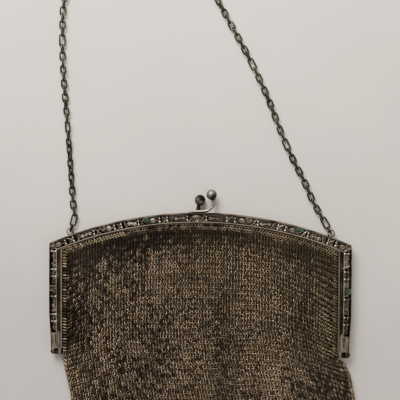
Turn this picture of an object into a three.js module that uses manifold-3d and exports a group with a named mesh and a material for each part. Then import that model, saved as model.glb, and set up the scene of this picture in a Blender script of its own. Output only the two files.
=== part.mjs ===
// Metal mesh purse: a pierced two-part frame with a ball clasp, a hollow mesh bag and a carrying chain.
// Millimetres, +Z up. The purse lies on its back, +X to its right and +Y from the bag towards the chain.
// The origin is on the underside of the back half's rail, at the middle of the arch.

import * as THREE from 'three';
import { mergeVertices } from 'three/addons/utils/BufferGeometryUtils.js';
import Module from 'manifold-3d';

const wasm = await Module();
wasm.setup();

// Clearances
const SEAT_GAP = 0.3;         // between pieces that touch on the real purse
const OVERLAP = 0.2;          // how deep joined forms sink into each other
const CUT_PAST = 1;           // how far a cutting form runs past the faces that it cuts

// Frame
const FRAME_WIDTH = 150;      // outside one arm to outside the other
const ARCH_RISE = 15.5;       // height of the arched top above its corners
const ARM_LENGTH = 54.6;      // corner to the middle of the hinge
const FRAME_DEPTH = 7.4;      // both halves, closed
const TOP_BAND = 5.7;         // face of the arch, pierced band and rail
const ARM_BAND = 6.2;         // face of the arms
const ARM_GROOVE = 0.6;       // between the arms' pierced band and rail
const RIM_WIDTH = 1.0;        // outer wall, seen from the front
const RAIL_WIDTH = 1.2;       // smooth strip that carries the mesh
const PLATE = 0.8;            // pierced sheet
const RELIEF = 0.4;           // rims and beads above the sheet
const ARCH_STEPS = 22;

// Pierced pattern
const GAP_PITCH = 5.0;
const GAP_LENGTH = 3.3;
const GAP_WIDTH = 2.2;
const BEAD_RADIUS = 0.7;
const BEAD_SIDES = 4;
const BRIDGE = 0.3;           // least metal between a gap and a cup
const END_PLATE = 12;         // plain stretch of each arm above its hinge
const SLOT_LENGTH = 4.6;
const SLOT_WIDTH = 0.9;

// Outline of one gap, in shares of its length and width
const GAP_OUTLINE = [
  { along: 0.5, across: 0 },
  { along: 0.24, across: 0.5 },
  { along: -0.24, across: 0.5 },
  { along: -0.5, across: 0 },
  { along: -0.24, across: -0.5 },
  { along: 0.24, across: -0.5 },
];

// Stone settings on the front half
const CUP_RADIUS = 1.5;
const CUP_WALL = 0.4;
const CUP_HEIGHT = 0.9;       // above the relief
const CUP_RECESS = 1.1;
const CUP_SIDES = 8;
const CUP_SPREAD = 25.2;      // spacing of the cups along the arch
const ARM_CUP_DROP = 22.5;    // corner to the cup on each arm
const CUP_INSET = 1.6;        // outer edge of the band to the middle of a cup
const STONE_SIDES = 8;
const STONE_CROWN = 0.45;
const STONE_TABLE = 0.6;      // share of the stone's radius
const STONE_PAVILION = 0.9;   // share of the stone's radius at the pavilion's shoulder

// Settings in a row over the arch, counted from the middle, and those that still hold a stone
const ARCH_CUPS = [
  { name: 'left_outer', steps: -1.92 },
  { name: 'left', steps: -1.05 },
  { name: 'right', steps: 0.97 },
  { name: 'right_outer', steps: 1.97 },
];
const STONES_LEFT = ['left', 'right_outer', 'arm_right'];

// Centre ornament
const ORNAMENT_RING = 1.7;
const LEAF_LENGTH = 7.2;
const LEAF_WIDTH = 2.8;
const LEAF_OFFSET = 7.4;
const LEAF_SIDES = 12;

// Hinges at the arm ends
const KNUCKLE_RADIUS = 1.6;
const KNUCKLE_SIDES = 12;
const PIN_RADIUS = 0.6;
const PIN_HEAD_RADIUS = 1.1;
const PIN_HEAD = 0.5;
const STRAP_SHARE = 0.6;      // how far past the pin each knuckle's strap runs, in knuckle radii

// Ball clasp
const FRONT_BALL = 5.3;       // diameter
const BACK_BALL = 5.5;
const LEVER_WIRE = 1.5;       // diameter
const POST_DIAMETER = 2;
const BALL_LOW = 0.3;         // front ball's middle under its lever
const BALL_HIGH = 0.8;        // back ball's middle above its post
const LEVER_SIDES = 8;
const LEVER_STEPS = 12;
const POST_STEPS = 5;
const BALL_SIDES = 12;
const BALL_RINGS = 8;

// Lever of the front ball: x, and how far it has risen above the arch
const LEVER_ROUTE = [
  { x: -5.6, rise: 0 },
  { x: -2.5, rise: 0 },
  { x: 1.2, rise: 0 },
  { x: 3.8, rise: 0.5 },
  { x: 5.8, rise: 2.2 },
  { x: 6.6, rise: 4.4 },
  { x: 5.9, rise: 7.9 },
];

// Post of the back ball
const POST_ROUTE = [
  { x: -1.0, rise: 0 },
  { x: -0.9, rise: 2.6 },
  { x: 0.1, rise: 5.9 },
];

// Chain and what holds it
const EYELET_INSET = 9.7;     // side of the frame to the middle of an eyelet
const EYELET_RADIUS = 1.65;
const EYELET_HOLE = 0.95;
const EYELET_THICKNESS = 1.1;
const EYELET_RISE = 1.5;      // eyelet centre above the arch
const LUG_WIDTH = 1.8;
const RING_RADIUS = 1.9;      // jump ring, middle of its wire
const RING_WIRE = 0.4;        // radius
const RING_WIRE_SIDES = 6;
const RING_SIDES = 12;
const LINK_WIDTH = 3.6;
const CHAIN_SIDES = 8;
const CHAIN_STEPS = 66;
const CHAIN_CLEARANCE = 0.05; // under the chain

// Route of the chain, left eyelet to right eyelet, round the plain loop at the top
const CHAIN_ROUTE = [
  [-63.2, 2.6],
  [-64.0, 10.6],
  [-65.4, 30.0],
  [-67.0, 50.6],
  [-68.4, 67.1],
  [-69.3, 80.6],
  [-69.5, 95.1],
  [-68.5, 111.6],
  [-63.0, 129.5],
  [-51.5, 143.0],
  [-36.0, 149.5],
  [-19.5, 146.5],
  [-6.0, 135.0],
  [8.0, 111.2],
  [14.3, 99.8],
  [22.0, 85.9],
  [27.1, 76.0],
  [33.6, 61.9],
  [40.0, 45.5],
  [46.2, 31.6],
  [51.5, 21.5],
  [56.6, 10.2],
  [61.6, 1.6],
];

// Mesh bag
const BAG_DEPTH = 160;        // rail at the middle of the arch to the bottom edge
const BAG_THICKNESS = 9.4;    // at the fullest place, before the folds
const MOUTH_THICKNESS = 7.1;  // between the frame's halves
const BAG_WALL = 1.4;
const BAG_SEAM = 2.1;         // wall at the sides
const BAG_CORNER = 30;        // radius of the bottom corners
const HEM_THICKNESS = 5.2;    // at the sides and the bottom edge
const HEM_ROUNDING = 1.3;     // how far front and back draw together at the edge
const FOLD_HEIGHT = 1.6;
const FOLD_EASE = 18;         // from the arch to where the folds reach their height
const FOLD_LEAD = 0.15;       // shares of a fold's length: how far before its start it begins,
const FOLD_RISE = 0.25;       // over which it rises,
const FOLD_FALL = 0.35;       // over which it falls
const FOLD_TAIL = 0.1;        // and how far past its end it runs
const BOTTOM_FULLNESS = 0.25; // share of the fullness that is left at the bottom edge
const SIDE_SQUARENESS = 6;    // power of the front's fall towards the sides
const HEM_SQUARENESS = 12;    // power of the rounding at the sides
const COLUMN_CROWDING = 0.75; // 1 spaces the columns evenly, less crowds them at the middle
const BAG_COLUMNS = 28;
const ARM_ROWS = 6;
const SIDE_ROWS = 6;
const CORNER_ROWS = 4;
const CAVITY_ROW_STEP = 2;

// Side outline under the hinges, in shares of the bag's depth there and of half its mouth
const BAG_SIDES = [
  { down: 0.00, left: 0.997, right: 0.997 },
  { down: 0.025, left: 1.004, right: 1.062 },
  { down: 0.09, left: 0.988, right: 1.102 },
  { down: 0.15, left: 0.968, right: 1.118 },
  { down: 0.21, left: 0.949, right: 1.134 },
  { down: 0.40, left: 0.920, right: 1.160 },
  { down: 0.62, left: 0.905, right: 1.165 },
  { down: 0.80, left: 0.915, right: 1.150 },
  { down: 1.00, left: 0.930, right: 1.130 },
];

// Folds of the front, from a start to an end in shares of half the mouth (across) and the depth (down)
const BAG_FOLDS = [
  { fromAcross: 0.17, fromDown: 0.20, toAcross: 0.20, toDown: 0.86, width: 0.045, height: -1.00 },
  { fromAcross: 0.09, fromDown: 0.22, toAcross: 0.10, toDown: 0.84, width: 0.050, height: 0.85 },
  { fromAcross: 0.28, fromDown: 0.20, toAcross: 0.33, toDown: 0.86, width: 0.060, height: 0.80 },
  { fromAcross: -0.08, fromDown: 0.22, toAcross: -0.10, toDown: 0.60, width: 0.055, height: 0.55 },
  { fromAcross: -0.01, fromDown: 0.24, toAcross: -0.01, toDown: 0.66, width: 0.045, height: -0.45 },
  { fromAcross: 0.50, fromDown: 0.06, toAcross: 0.56, toDown: 0.72, width: 0.070, height: 0.70 },
  { fromAcross: 0.42, fromDown: 0.10, toAcross: 0.45, toDown: 0.70, width: 0.055, height: -0.55 },
  { fromAcross: 0.72, fromDown: 0.10, toAcross: 0.90, toDown: 0.52, width: 0.060, height: -0.95 },
  { fromAcross: 0.82, fromDown: 0.10, toAcross: 1.02, toDown: 0.50, width: 0.060, height: 0.75 },
  { fromAcross: 0.66, fromDown: 0.14, toAcross: 0.76, toDown: 0.60, width: 0.060, height: 0.55 },
  { fromAcross: -0.60, fromDown: 0.05, toAcross: -0.62, toDown: 0.66, width: 0.090, height: 0.60 },
  { fromAcross: -0.72, fromDown: 0.07, toAcross: -0.86, toDown: 0.48, width: 0.060, height: -0.95 },
  { fromAcross: -0.40, fromDown: 0.10, toAcross: -0.36, toDown: 0.74, width: 0.080, height: -0.45 },
  { fromAcross: -0.24, fromDown: 0.08, toAcross: -0.22, toDown: 0.70, width: 0.075, height: 0.45 },
  { fromAcross: 0.10, fromDown: 0.01, toAcross: 0.14, toDown: 0.16, width: 0.120, height: -0.50 },
];

// Places worked out from the sizes above
const HALF_WIDTH = FRAME_WIDTH / 2;
const ARCH_RADIUS = (HALF_WIDTH ** 2 + ARCH_RISE ** 2) / (2 * ARCH_RISE);
const APEX_Y = TOP_BAND - RAIL_WIDTH / 2;
const ARCH_CENTRE_Y = APEX_Y - ARCH_RADIUS;
const CORNER_Y = APEX_Y - ARCH_RISE;
const HINGE_Y = CORNER_Y - ARM_LENGTH;
const ARM_END_Y = HINGE_Y + KNUCKLE_RADIUS + SEAT_GAP;
const MIDDLE_Z = FRAME_DEPTH / 2;
const HALF_DEPTH = (FRAME_DEPTH - SEAT_GAP) / 2;
const TOP_PIERCED = TOP_BAND - RAIL_WIDTH;
const ARM_PIERCED = ARM_BAND - RAIL_WIDTH - ARM_GROOVE;
const PATTERN_INSET = RIM_WIDTH + (TOP_PIERCED - RIM_WIDTH) / 2;
const ARM_PATTERN_INSET = RIM_WIDTH + (ARM_PIERCED - RIM_WIDTH) / 2;

// Turns a closed three.js geometry into a solid that can be joined and cut
function solid(geometry) {
  const bare = geometry.index ? geometry.toNonIndexed() : geometry.clone();
  bare.deleteAttribute('normal');
  bare.deleteAttribute('uv');
  const welded = mergeVertices(bare, 1e-4);
  return new wasm.Manifold(new wasm.Mesh({
    numProp: 3,
    vertProperties: new Float32Array(welded.attributes.position.array),
    triVerts: new Uint32Array(welded.index.array),
  }));
}

function geometryOf(body) {
  const mesh = body.getMesh();
  const geometry = new THREE.BufferGeometry();
  geometry.setAttribute('position', new THREE.BufferAttribute(new Float32Array(mesh.vertProperties), 3));
  geometry.setIndex(new THREE.BufferAttribute(new Uint32Array(mesh.triVerts), 1));
  geometry.computeVertexNormals();
  return geometry;
}

function joined(bodies) {
  return bodies.reduce((whole, body) => whole.add(body));
}

// A prism from an outline in the XY plane, between two heights
function slab(outline, holes, bottom, top) {
  const shape = new THREE.Shape(outline);
  for (const hole of holes) shape.holes.push(new THREE.Path(hole));
  const geometry = new THREE.ExtrudeGeometry(shape, { depth: top - bottom, bevelEnabled: false });
  return solid(geometry.translate(0, 0, bottom));
}

function box(lowX, highX, lowY, highY, lowZ, highZ) {
  const geometry = new THREE.BoxGeometry(highX - lowX, highY - lowY, highZ - lowZ);
  return solid(geometry.translate((lowX + highX) / 2, (lowY + highY) / 2, (lowZ + highZ) / 2));
}

// A round piece turned about Z: profile points are [radius, height]
function turned(profile, sides, x, y) {
  const geometry = new THREE.LatheGeometry(profile.map(([r, z]) => new THREE.Vector2(r, z)), sides);
  return solid(geometry.rotateX(Math.PI / 2).translate(x, y, 0));
}

// A cylinder along X
function rod(radius, lowX, highX, y, z, sides) {
  const geometry = new THREE.CylinderGeometry(radius, radius, highX - lowX, sides);
  return solid(geometry.rotateZ(Math.PI / 2).translate((lowX + highX) / 2, y, z));
}

function ball(diameter, x, y, z) {
  return solid(new THREE.SphereGeometry(diameter / 2, BALL_SIDES, BALL_RINGS).translate(x, y, z));
}

// A round bar along a smooth path
function wire(points, diameter, sides, steps) {
  const section = Array.from({ length: sides }, (_, i) => {
    const angle = (2 * Math.PI * (i + 0.5)) / sides;
    return new THREE.Vector2(Math.cos(angle), Math.sin(angle)).multiplyScalar(diameter / 2);
  });
  const path = new THREE.CatmullRomCurve3(points, false, 'centripetal');
  const shape = new THREE.Shape(section);
  return new THREE.ExtrudeGeometry(shape, { steps, bevelEnabled: false, extrudePath: path });
}

// Height of the arch, inset by a distance from its outer edge
function archY(x, inset) {
  return ARCH_CENTRE_Y + Math.sqrt((ARCH_RADIUS - inset) ** 2 - x ** 2);
}

// Left arm end, up, over the arch and down to the right arm end
function frameLine(topInset, armInset, endY) {
  const side = HALF_WIDTH - armInset;
  const reach = Math.asin(side / (ARCH_RADIUS - topInset));
  const line = [new THREE.Vector2(-side, endY)];
  for (let i = 0; i <= ARCH_STEPS; i += 1) {
    const angle = reach * ((2 * i) / ARCH_STEPS - 1);
    line.push(new THREE.Vector2(
      (ARCH_RADIUS - topInset) * Math.sin(angle),
      ARCH_CENTRE_Y + (ARCH_RADIUS - topInset) * Math.cos(angle),
    ));
  }
  line.push(new THREE.Vector2(side, endY));
  return line;
}

function frameStrip(outer, inner) {
  return [...frameLine(outer, outer, ARM_END_Y), ...inner.reverse()];
}

// Where the pattern stands: a point, the direction along the band and whether a cup takes its place
function patternPlaces(shift) {
  const places = [];
  const radius = ARCH_RADIUS - PATTERN_INSET;
  const reach = Math.asin((HALF_WIDTH - ARM_BAND / 2) / radius);
  const topCount = Math.floor((2 * reach * radius) / GAP_PITCH / 2) * 2;
  for (let i = 0; i < topCount; i += 1) {
    const angle = (((i + shift - topCount / 2) * GAP_PITCH) / radius);
    if (Math.abs(angle) > reach - GAP_PITCH / 2 / radius) continue;
    places.push({ x: radius * Math.sin(angle), y: ARCH_CENTRE_Y + radius * Math.cos(angle), turn: -angle });
  }
  const armX = HALF_WIDTH - ARM_PATTERN_INSET;
  const armTop = CORNER_Y - GAP_PITCH;
  const armCount = Math.floor((armTop - ARM_END_Y - END_PLATE) / GAP_PITCH);
  for (let i = 0; i < armCount; i += 1) {
    const y = armTop - (i + shift) * GAP_PITCH;
    places.push({ x: -armX, y, turn: Math.PI / 2 });
    places.push({ x: armX, y, turn: -Math.PI / 2 });
  }
  return places;
}

function cupPlaces() {
  const radius = ARCH_RADIUS - CUP_INSET;
  const places = [];
  for (const { name, steps } of ARCH_CUPS) {
    const angle = (steps * CUP_SPREAD) / radius;
    places.push({ name, x: radius * Math.sin(angle), y: ARCH_CENTRE_Y + radius * Math.cos(angle) });
  }
  const cornerX = HALF_WIDTH - RIM_WIDTH - CUP_RADIUS / 2;
  for (const [name, side] of [['corner_left', -1], ['corner_right', 1]]) {
    places.push({ name, x: side * cornerX, y: CORNER_Y - CUP_RADIUS / 2 });
  }
  const armX = HALF_WIDTH - CUP_INSET;
  for (const [name, side] of [['arm_left', -1], ['arm_right', 1]]) {
    places.push({ name, x: side * armX, y: CORNER_Y - ARM_CUP_DROP });
  }
  return places;
}

function clearOf(place, others, distance) {
  return others.every((other) => Math.hypot(place.x - other.x, place.y - other.y) > distance);
}

// One pierced gap: a pointed oval along the band
function gapOutline(place) {
  const middle = new THREE.Vector2(place.x, place.y);
  return GAP_OUTLINE.map(({ along, across }) => new THREE.Vector2(along * GAP_LENGTH, across * GAP_WIDTH)
    .add(middle).rotateAround(middle, place.turn));
}

function slotOutline(side) {
  const x = side * (HALF_WIDTH - ARM_PIERCED + SLOT_WIDTH / 2);
  const y = ARM_END_Y + END_PLATE / 2 - SLOT_WIDTH;
  const half = SLOT_WIDTH / 2;
  return [
    new THREE.Vector2(x - half, y - SLOT_LENGTH / 2),
    new THREE.Vector2(x + half, y - SLOT_LENGTH / 2),
    new THREE.Vector2(x + half, y + SLOT_LENGTH / 2),
    new THREE.Vector2(x - half, y + SLOT_LENGTH / 2),
  ];
}

// The sheet, walls and beads of one half, face up, with its joint at height zero
function halfShell(keepClear, beaded) {
  const face = HALF_DEPTH;
  const sheetTop = face - RELIEF;
  const holes = patternPlaces(0.5).filter((p) => clearOf(p, keepClear, CUP_RADIUS + GAP_LENGTH / 2 - BRIDGE));
  const outline = frameStrip(0, frameLine(TOP_BAND, ARM_BAND, ARM_END_Y));
  const openings = [...holes.map(gapOutline), slotOutline(-1), slotOutline(1)];
  const sheet = slab(outline, openings, sheetTop - PLATE, sheetTop);
  const wall = slab(frameStrip(0, frameLine(RIM_WIDTH, RIM_WIDTH, ARM_END_Y)), [], 0, face);
  const railOuter = frameLine(TOP_BAND - RAIL_WIDTH, ARM_BAND - RAIL_WIDTH, ARM_END_Y);
  const railInner = frameLine(TOP_BAND, ARM_BAND, ARM_END_Y).reverse();
  const rail = slab([...railOuter, ...railInner], [], sheetTop - PLATE - RELIEF, face);
  const beads = (beaded ? patternPlaces(0) : [])
    .filter((p) => clearOf(p, keepClear, CUP_RADIUS + BEAD_RADIUS))
    .map((p) => solid(new THREE.CylinderGeometry(BEAD_RADIUS / 2, BEAD_RADIUS, RELIEF + OVERLAP, BEAD_SIDES)
      .rotateX(Math.PI / 2).translate(p.x, p.y, face - (RELIEF + OVERLAP) / 2)));
  return joined([sheet, wall, rail, ...beads]);
}

// Hinge knuckles of one half: x ranges on the right arm, mirrored to the left
function knuckles(ranges) {
  const reach = HALF_DEPTH - RELIEF;
  const boreRadius = PIN_RADIUS + SEAT_GAP;
  const bodies = [];
  const bores = [];
  for (const side of [-1, 1]) {
    for (const [near, far] of ranges) {
      const low = Math.min(side * near, side * far);
      const high = Math.max(side * near, side * far);
      bodies.push(rod(KNUCKLE_RADIUS, low, high, HINGE_Y, -SEAT_GAP / 2, KNUCKLE_SIDES));
      bodies.push(box(low, high, HINGE_Y - KNUCKLE_RADIUS * STRAP_SHARE, ARM_END_Y + OVERLAP, 0, reach));
      bores.push(rod(boreRadius, low - CUT_PAST, high + CUT_PAST, HINGE_Y, -SEAT_GAP / 2, KNUCKLE_SIDES));
    }
  }
  return { body: joined(bodies), bore: joined(bores) };
}

function cup(place) {
  const top = HALF_DEPTH + CUP_HEIGHT;
  const inner = CUP_RADIUS - CUP_WALL;
  return turned([
    [0, HALF_DEPTH - RELIEF - PLATE],
    [CUP_RADIUS, HALF_DEPTH - RELIEF - PLATE],
    [CUP_RADIUS, top],
    [inner, top],
    [inner, top - CUP_RECESS],
    [0, top - CUP_RECESS],
  ], CUP_SIDES, place.x, place.y);
}

function centreOrnament() {
  const y = archY(0, PATTERN_INSET);
  const ring = turned([
    [ORNAMENT_RING / 2, HALF_DEPTH - RELIEF - PLATE],
    [ORNAMENT_RING, HALF_DEPTH - RELIEF - PLATE],
    [ORNAMENT_RING, HALF_DEPTH + RELIEF],
    [ORNAMENT_RING / 2, HALF_DEPTH + RELIEF],
    [ORNAMENT_RING / 2, HALF_DEPTH - RELIEF - PLATE],
  ], CUP_SIDES, 0, y);
  const leaves = [-1, 1].map((side) => {
    const outline = Array.from({ length: LEAF_SIDES }, (_, i) => {
      const angle = (2 * Math.PI * i) / LEAF_SIDES;
      const across = Math.sign(Math.sin(angle)) * Math.sin(angle) ** 2;
      return new THREE.Vector2(
        side * LEAF_OFFSET + (LEAF_LENGTH / 2) * Math.cos(angle),
        archY(LEAF_OFFSET, PATTERN_INSET) + (LEAF_WIDTH / 2) * across,
      );
    });
    return slab(outline, [], HALF_DEPTH - RELIEF - OVERLAP, HALF_DEPTH + RELIEF);
  });
  return joined([ring, ...leaves]);
}

// Places on the back half that carry the chain
const EYELETS = [-1, 1].map((side) => {
  const radius = ARCH_RADIUS + EYELET_RISE;
  const turn = Math.asin((side * (HALF_WIDTH - EYELET_INSET)) / radius);
  return {
    side,
    turn,
    point: new THREE.Vector3(
      radius * Math.sin(turn),
      ARCH_CENTRE_Y + radius * Math.cos(turn),
      RING_RADIUS + RING_WIRE + CHAIN_CLEARANCE,
    ),
  };
});

// A round plate, given its radius and heights
function disc(radius, low, high, x, y) {
  return turned([[0, low], [radius, low], [radius, high], [0, high]], CUP_SIDES, x, y);
}

function eyelet({ point, turn }) {
  const low = point.z - EYELET_THICKNESS / 2;
  const high = point.z + EYELET_THICKNESS / 2;
  const ring = disc(EYELET_RADIUS, low, high, point.x, point.y);
  const lug = solid(new THREE.BoxGeometry(LUG_WIDTH, EYELET_RISE + RIM_WIDTH / 2, EYELET_THICKNESS)
    .translate(0, -(EYELET_RISE + RIM_WIDTH / 2) / 2, 0)
    .rotateZ(-turn)
    .translate(point.x, point.y, point.z));
  const hole = disc(EYELET_HOLE, low - CUT_PAST, high + CUT_PAST, point.x, point.y);
  return ring.add(lug).subtract(hole);
}

const KNUCKLE_STEP = ARM_BAND / 3;
const OUTER_KNUCKLES = [
  [HALF_WIDTH - KNUCKLE_STEP + SEAT_GAP / 2, HALF_WIDTH],
  [HALF_WIDTH - ARM_BAND, HALF_WIDTH - 2 * KNUCKLE_STEP - SEAT_GAP / 2],
];
const INNER_KNUCKLE = [
  [HALF_WIDTH - 2 * KNUCKLE_STEP + SEAT_GAP / 2, HALF_WIDTH - KNUCKLE_STEP - SEAT_GAP / 2],
];

function frameFront() {
  const cups = cupPlaces();
  const centre = [-LEAF_OFFSET, 0, LEAF_OFFSET].map((x) => ({ x, y: archY(x, PATTERN_INSET) }));
  const hinge = knuckles(OUTER_KNUCKLES);
  const floor = HALF_DEPTH + CUP_HEIGHT - CUP_RECESS;
  const recesses = cups.map(({ x, y }) => disc(CUP_RADIUS - CUP_WALL, floor, FRAME_DEPTH, x, y));
  const shell = halfShell([...cups, ...centre], true);
  const metal = joined([shell, centreOrnament(), ...cups.map(cup), hinge.body]);
  return metal.subtract(joined(recesses)).subtract(hinge.bore)
    .translate([0, 0, MIDDLE_Z + SEAT_GAP / 2]);
}

function frameBack() {
  const hinge = knuckles(INNER_KNUCKLE);
  const half = joined([halfShell([], false), hinge.body]).subtract(hinge.bore)
    .translate([0, 0, MIDDLE_Z + SEAT_GAP / 2])
    .mirror([0, 0, 1])
    .translate([0, 0, FRAME_DEPTH]);
  return joined([half, ...EYELETS.map(eyelet)]);
}

function hingePin(side) {
  const inner = HALF_WIDTH - ARM_BAND + SEAT_GAP;
  const outer = HALF_WIDTH + SEAT_GAP;
  const span = (a, b) => [Math.min(side * a, side * b), Math.max(side * a, side * b)];
  const shank = rod(PIN_RADIUS, ...span(inner, outer + PIN_HEAD / 2), HINGE_Y, MIDDLE_Z, KNUCKLE_SIDES);
  const head = rod(PIN_HEAD_RADIUS, ...span(outer, outer + PIN_HEAD), HINGE_Y, MIDDLE_Z, KNUCKLE_SIDES);
  return shank.add(head);
}

// One half of the clasp: a bar along its route, with a ball on its last point
function claspHalf(route, startY, z, ballZ, thickness, steps, ballDiameter) {
  const last = route.length - 1;
  const points = route.map(({ x, rise }, i) => new THREE.Vector3(x, startY + rise, i === last ? ballZ : z));
  const end = points[last];
  return solid(wire(points, thickness, LEVER_SIDES, steps)).add(ball(ballDiameter, end.x, end.y, end.z));
}

function claspFront() {
  const z = MIDDLE_Z + SEAT_GAP / 2 + LEVER_WIRE / 2 + OVERLAP;
  const startY = APEX_Y + SEAT_GAP + LEVER_WIRE / 2;
  return claspHalf(LEVER_ROUTE, startY, z, z - BALL_LOW, LEVER_WIRE, LEVER_STEPS, FRONT_BALL);
}

function claspBack() {
  const z = MIDDLE_Z - SEAT_GAP / 2 - POST_DIAMETER / 2 - OVERLAP;
  return claspHalf(POST_ROUTE, APEX_Y + SEAT_GAP, z, z + BALL_HIGH, POST_DIAMETER, POST_STEPS, BACK_BALL);
}

// A stone with a table and eight crown facets, resting in its cup
function stone(place) {
  const rim = MIDDLE_Z + SEAT_GAP / 2 + HALF_DEPTH + CUP_HEIGHT;
  const floor = rim - CUP_RECESS + SEAT_GAP;
  const radius = CUP_RADIUS - CUP_WALL - SEAT_GAP / 2;
  return turned([
    [0, floor],
    [radius * STONE_PAVILION, (floor + rim) / 2 - OVERLAP],
    [radius, rim - SEAT_GAP],
    [radius * STONE_TABLE, rim + STONE_CROWN],
    [0, rim + STONE_CROWN],
  ], STONE_SIDES, place.x, place.y);
}

// Direction in which the chain leaves each eyelet
function chainLeaves(eyeletPlace) {
  const next = eyeletPlace.side < 0 ? CHAIN_ROUTE[0] : CHAIN_ROUTE[CHAIN_ROUTE.length - 1];
  const direction = new THREE.Vector3(next[0] - eyeletPlace.point.x, next[1] - eyeletPlace.point.y, 0);
  return direction.normalize();
}

function jumpRing(eyeletPlace) {
  const direction = chainLeaves(eyeletPlace);
  const middle = eyeletPlace.point.clone().addScaledVector(direction, RING_RADIUS);
  return new THREE.TorusGeometry(RING_RADIUS, RING_WIRE, RING_WIRE_SIDES, RING_SIDES)
    .rotateX(Math.PI / 2)
    .rotateZ(Math.atan2(direction.y, direction.x))
    .translate(middle.x, middle.y, middle.z);
}

function chain() {
  const restZ = LINK_WIDTH / 2 + CHAIN_CLEARANCE;
  const away = 2 * RING_RADIUS + RING_WIRE + SEAT_GAP;
  const [start, finish] = EYELETS.map((place) => {
    const point = place.point.clone().addScaledVector(chainLeaves(place), away);
    return point.setZ(restZ);
  });
  const route = CHAIN_ROUTE.map(([x, y]) => new THREE.Vector3(x, y, restZ));
  return wire([start, ...route, finish], LINK_WIDTH, CHAIN_SIDES, CHAIN_STEPS);
}

// Mesh bag: a grid over front and back, with a cavity that runs out between the frame's halves
const BAG_HALF_MOUTH = HALF_WIDTH - ARM_BAND - SEAT_GAP;
const BAG_TOP_Y = APEX_Y - TOP_BAND - SEAT_GAP;
const SIDE_TOP_Y = HINGE_Y - KNUCKLE_RADIUS - SEAT_GAP;
const BAG_BOTTOM_Y = BAG_TOP_Y - BAG_DEPTH;

function smooth(value) {
  const t = Math.min(Math.max(value, 0), 1);
  return t * t * (3 - 2 * t);
}

function tableValue(rows, key, column, at) {
  const next = rows.findIndex((row) => row[key] >= at);
  if (next <= 0) return rows[Math.max(next, 0)][column];
  const low = rows[next - 1];
  const high = rows[next];
  return low[column] + (high[column] - low[column]) * ((at - low[key]) / (high[key] - low[key]));
}

// Left and right edges of the bag at a height, as distances from the middle
function bagEdges(y) {
  if (y > SIDE_TOP_Y) return [-BAG_HALF_MOUTH, BAG_HALF_MOUTH];
  const down = Math.min((SIDE_TOP_Y - y) / (SIDE_TOP_Y - BAG_BOTTOM_Y), 1);
  const intoCorner = Math.max(0, BAG_BOTTOM_Y + BAG_CORNER - y) / BAG_CORNER;
  const inset = BAG_CORNER * (1 - Math.sqrt(Math.max(0, 1 - intoCorner ** 2)));
  return [
    -BAG_HALF_MOUTH * tableValue(BAG_SIDES, 'down', 'left', down) + inset,
    BAG_HALF_MOUTH * tableValue(BAG_SIDES, 'down', 'right', down) - inset,
  ];
}

// How far one fold lifts or sinks the front at a point
function foldLift(fold, x, y) {
  const from = new THREE.Vector2(fold.fromAcross * BAG_HALF_MOUTH, BAG_TOP_Y - fold.fromDown * BAG_DEPTH);
  const to = new THREE.Vector2(fold.toAcross * BAG_HALF_MOUTH, BAG_TOP_Y - fold.toDown * BAG_DEPTH);
  const along = to.clone().sub(from);
  const length = along.length();
  const point = new THREE.Vector2(x, y).sub(from);
  const travel = point.dot(along) / length ** 2;
  const across = Math.abs(point.cross(along)) / length;
  const fade = smooth((travel + FOLD_LEAD) / FOLD_RISE) * smooth((1 + FOLD_TAIL - travel) / FOLD_FALL);
  return fold.height * FOLD_HEIGHT * fade * Math.exp(-((across / (fold.width * BAG_HALF_MOUTH)) ** 2));
}

function foldsAt(x, y) {
  return BAG_FOLDS.reduce((sum, fold) => sum + foldLift(fold, x, y), 0);
}

// Heights of the back and the front at a point of the bag
function bagHeights(x, y, share) {
  const fromArms = smooth((BAG_TOP_Y - ARCH_RISE - y) / ARM_LENGTH);
  const toBottom = smooth((y - BAG_BOTTOM_Y) / BAG_CORNER);
  const toSide = 1 - Math.abs(share) ** SIDE_SQUARENESS;
  const rim = MOUTH_THICKNESS + (HEM_THICKNESS - MOUTH_THICKNESS) * fromArms;
  const full = MOUTH_THICKNESS + (BAG_THICKNESS - MOUTH_THICKNESS) * smooth((BAG_TOP_Y - y) / ARM_LENGTH);
  const height = rim + (full - rim) * toSide * (BOTTOM_FULLNESS + (1 - BOTTOM_FULLNESS) * toBottom);
  const atBottom = 1 - smooth((y - BAG_BOTTOM_Y) / HEM_THICKNESS);
  const hem = HEM_ROUNDING * Math.max(Math.abs(share) ** HEM_SQUARENESS * fromArms, atBottom);
  const lift = foldsAt(x, y) * toSide * smooth((archTop(x) - y) / FOLD_EASE);
  return [hem, height + lift - hem];
}

function archTop(x) {
  return archY(x, TOP_BAND + SEAT_GAP);
}

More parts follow.
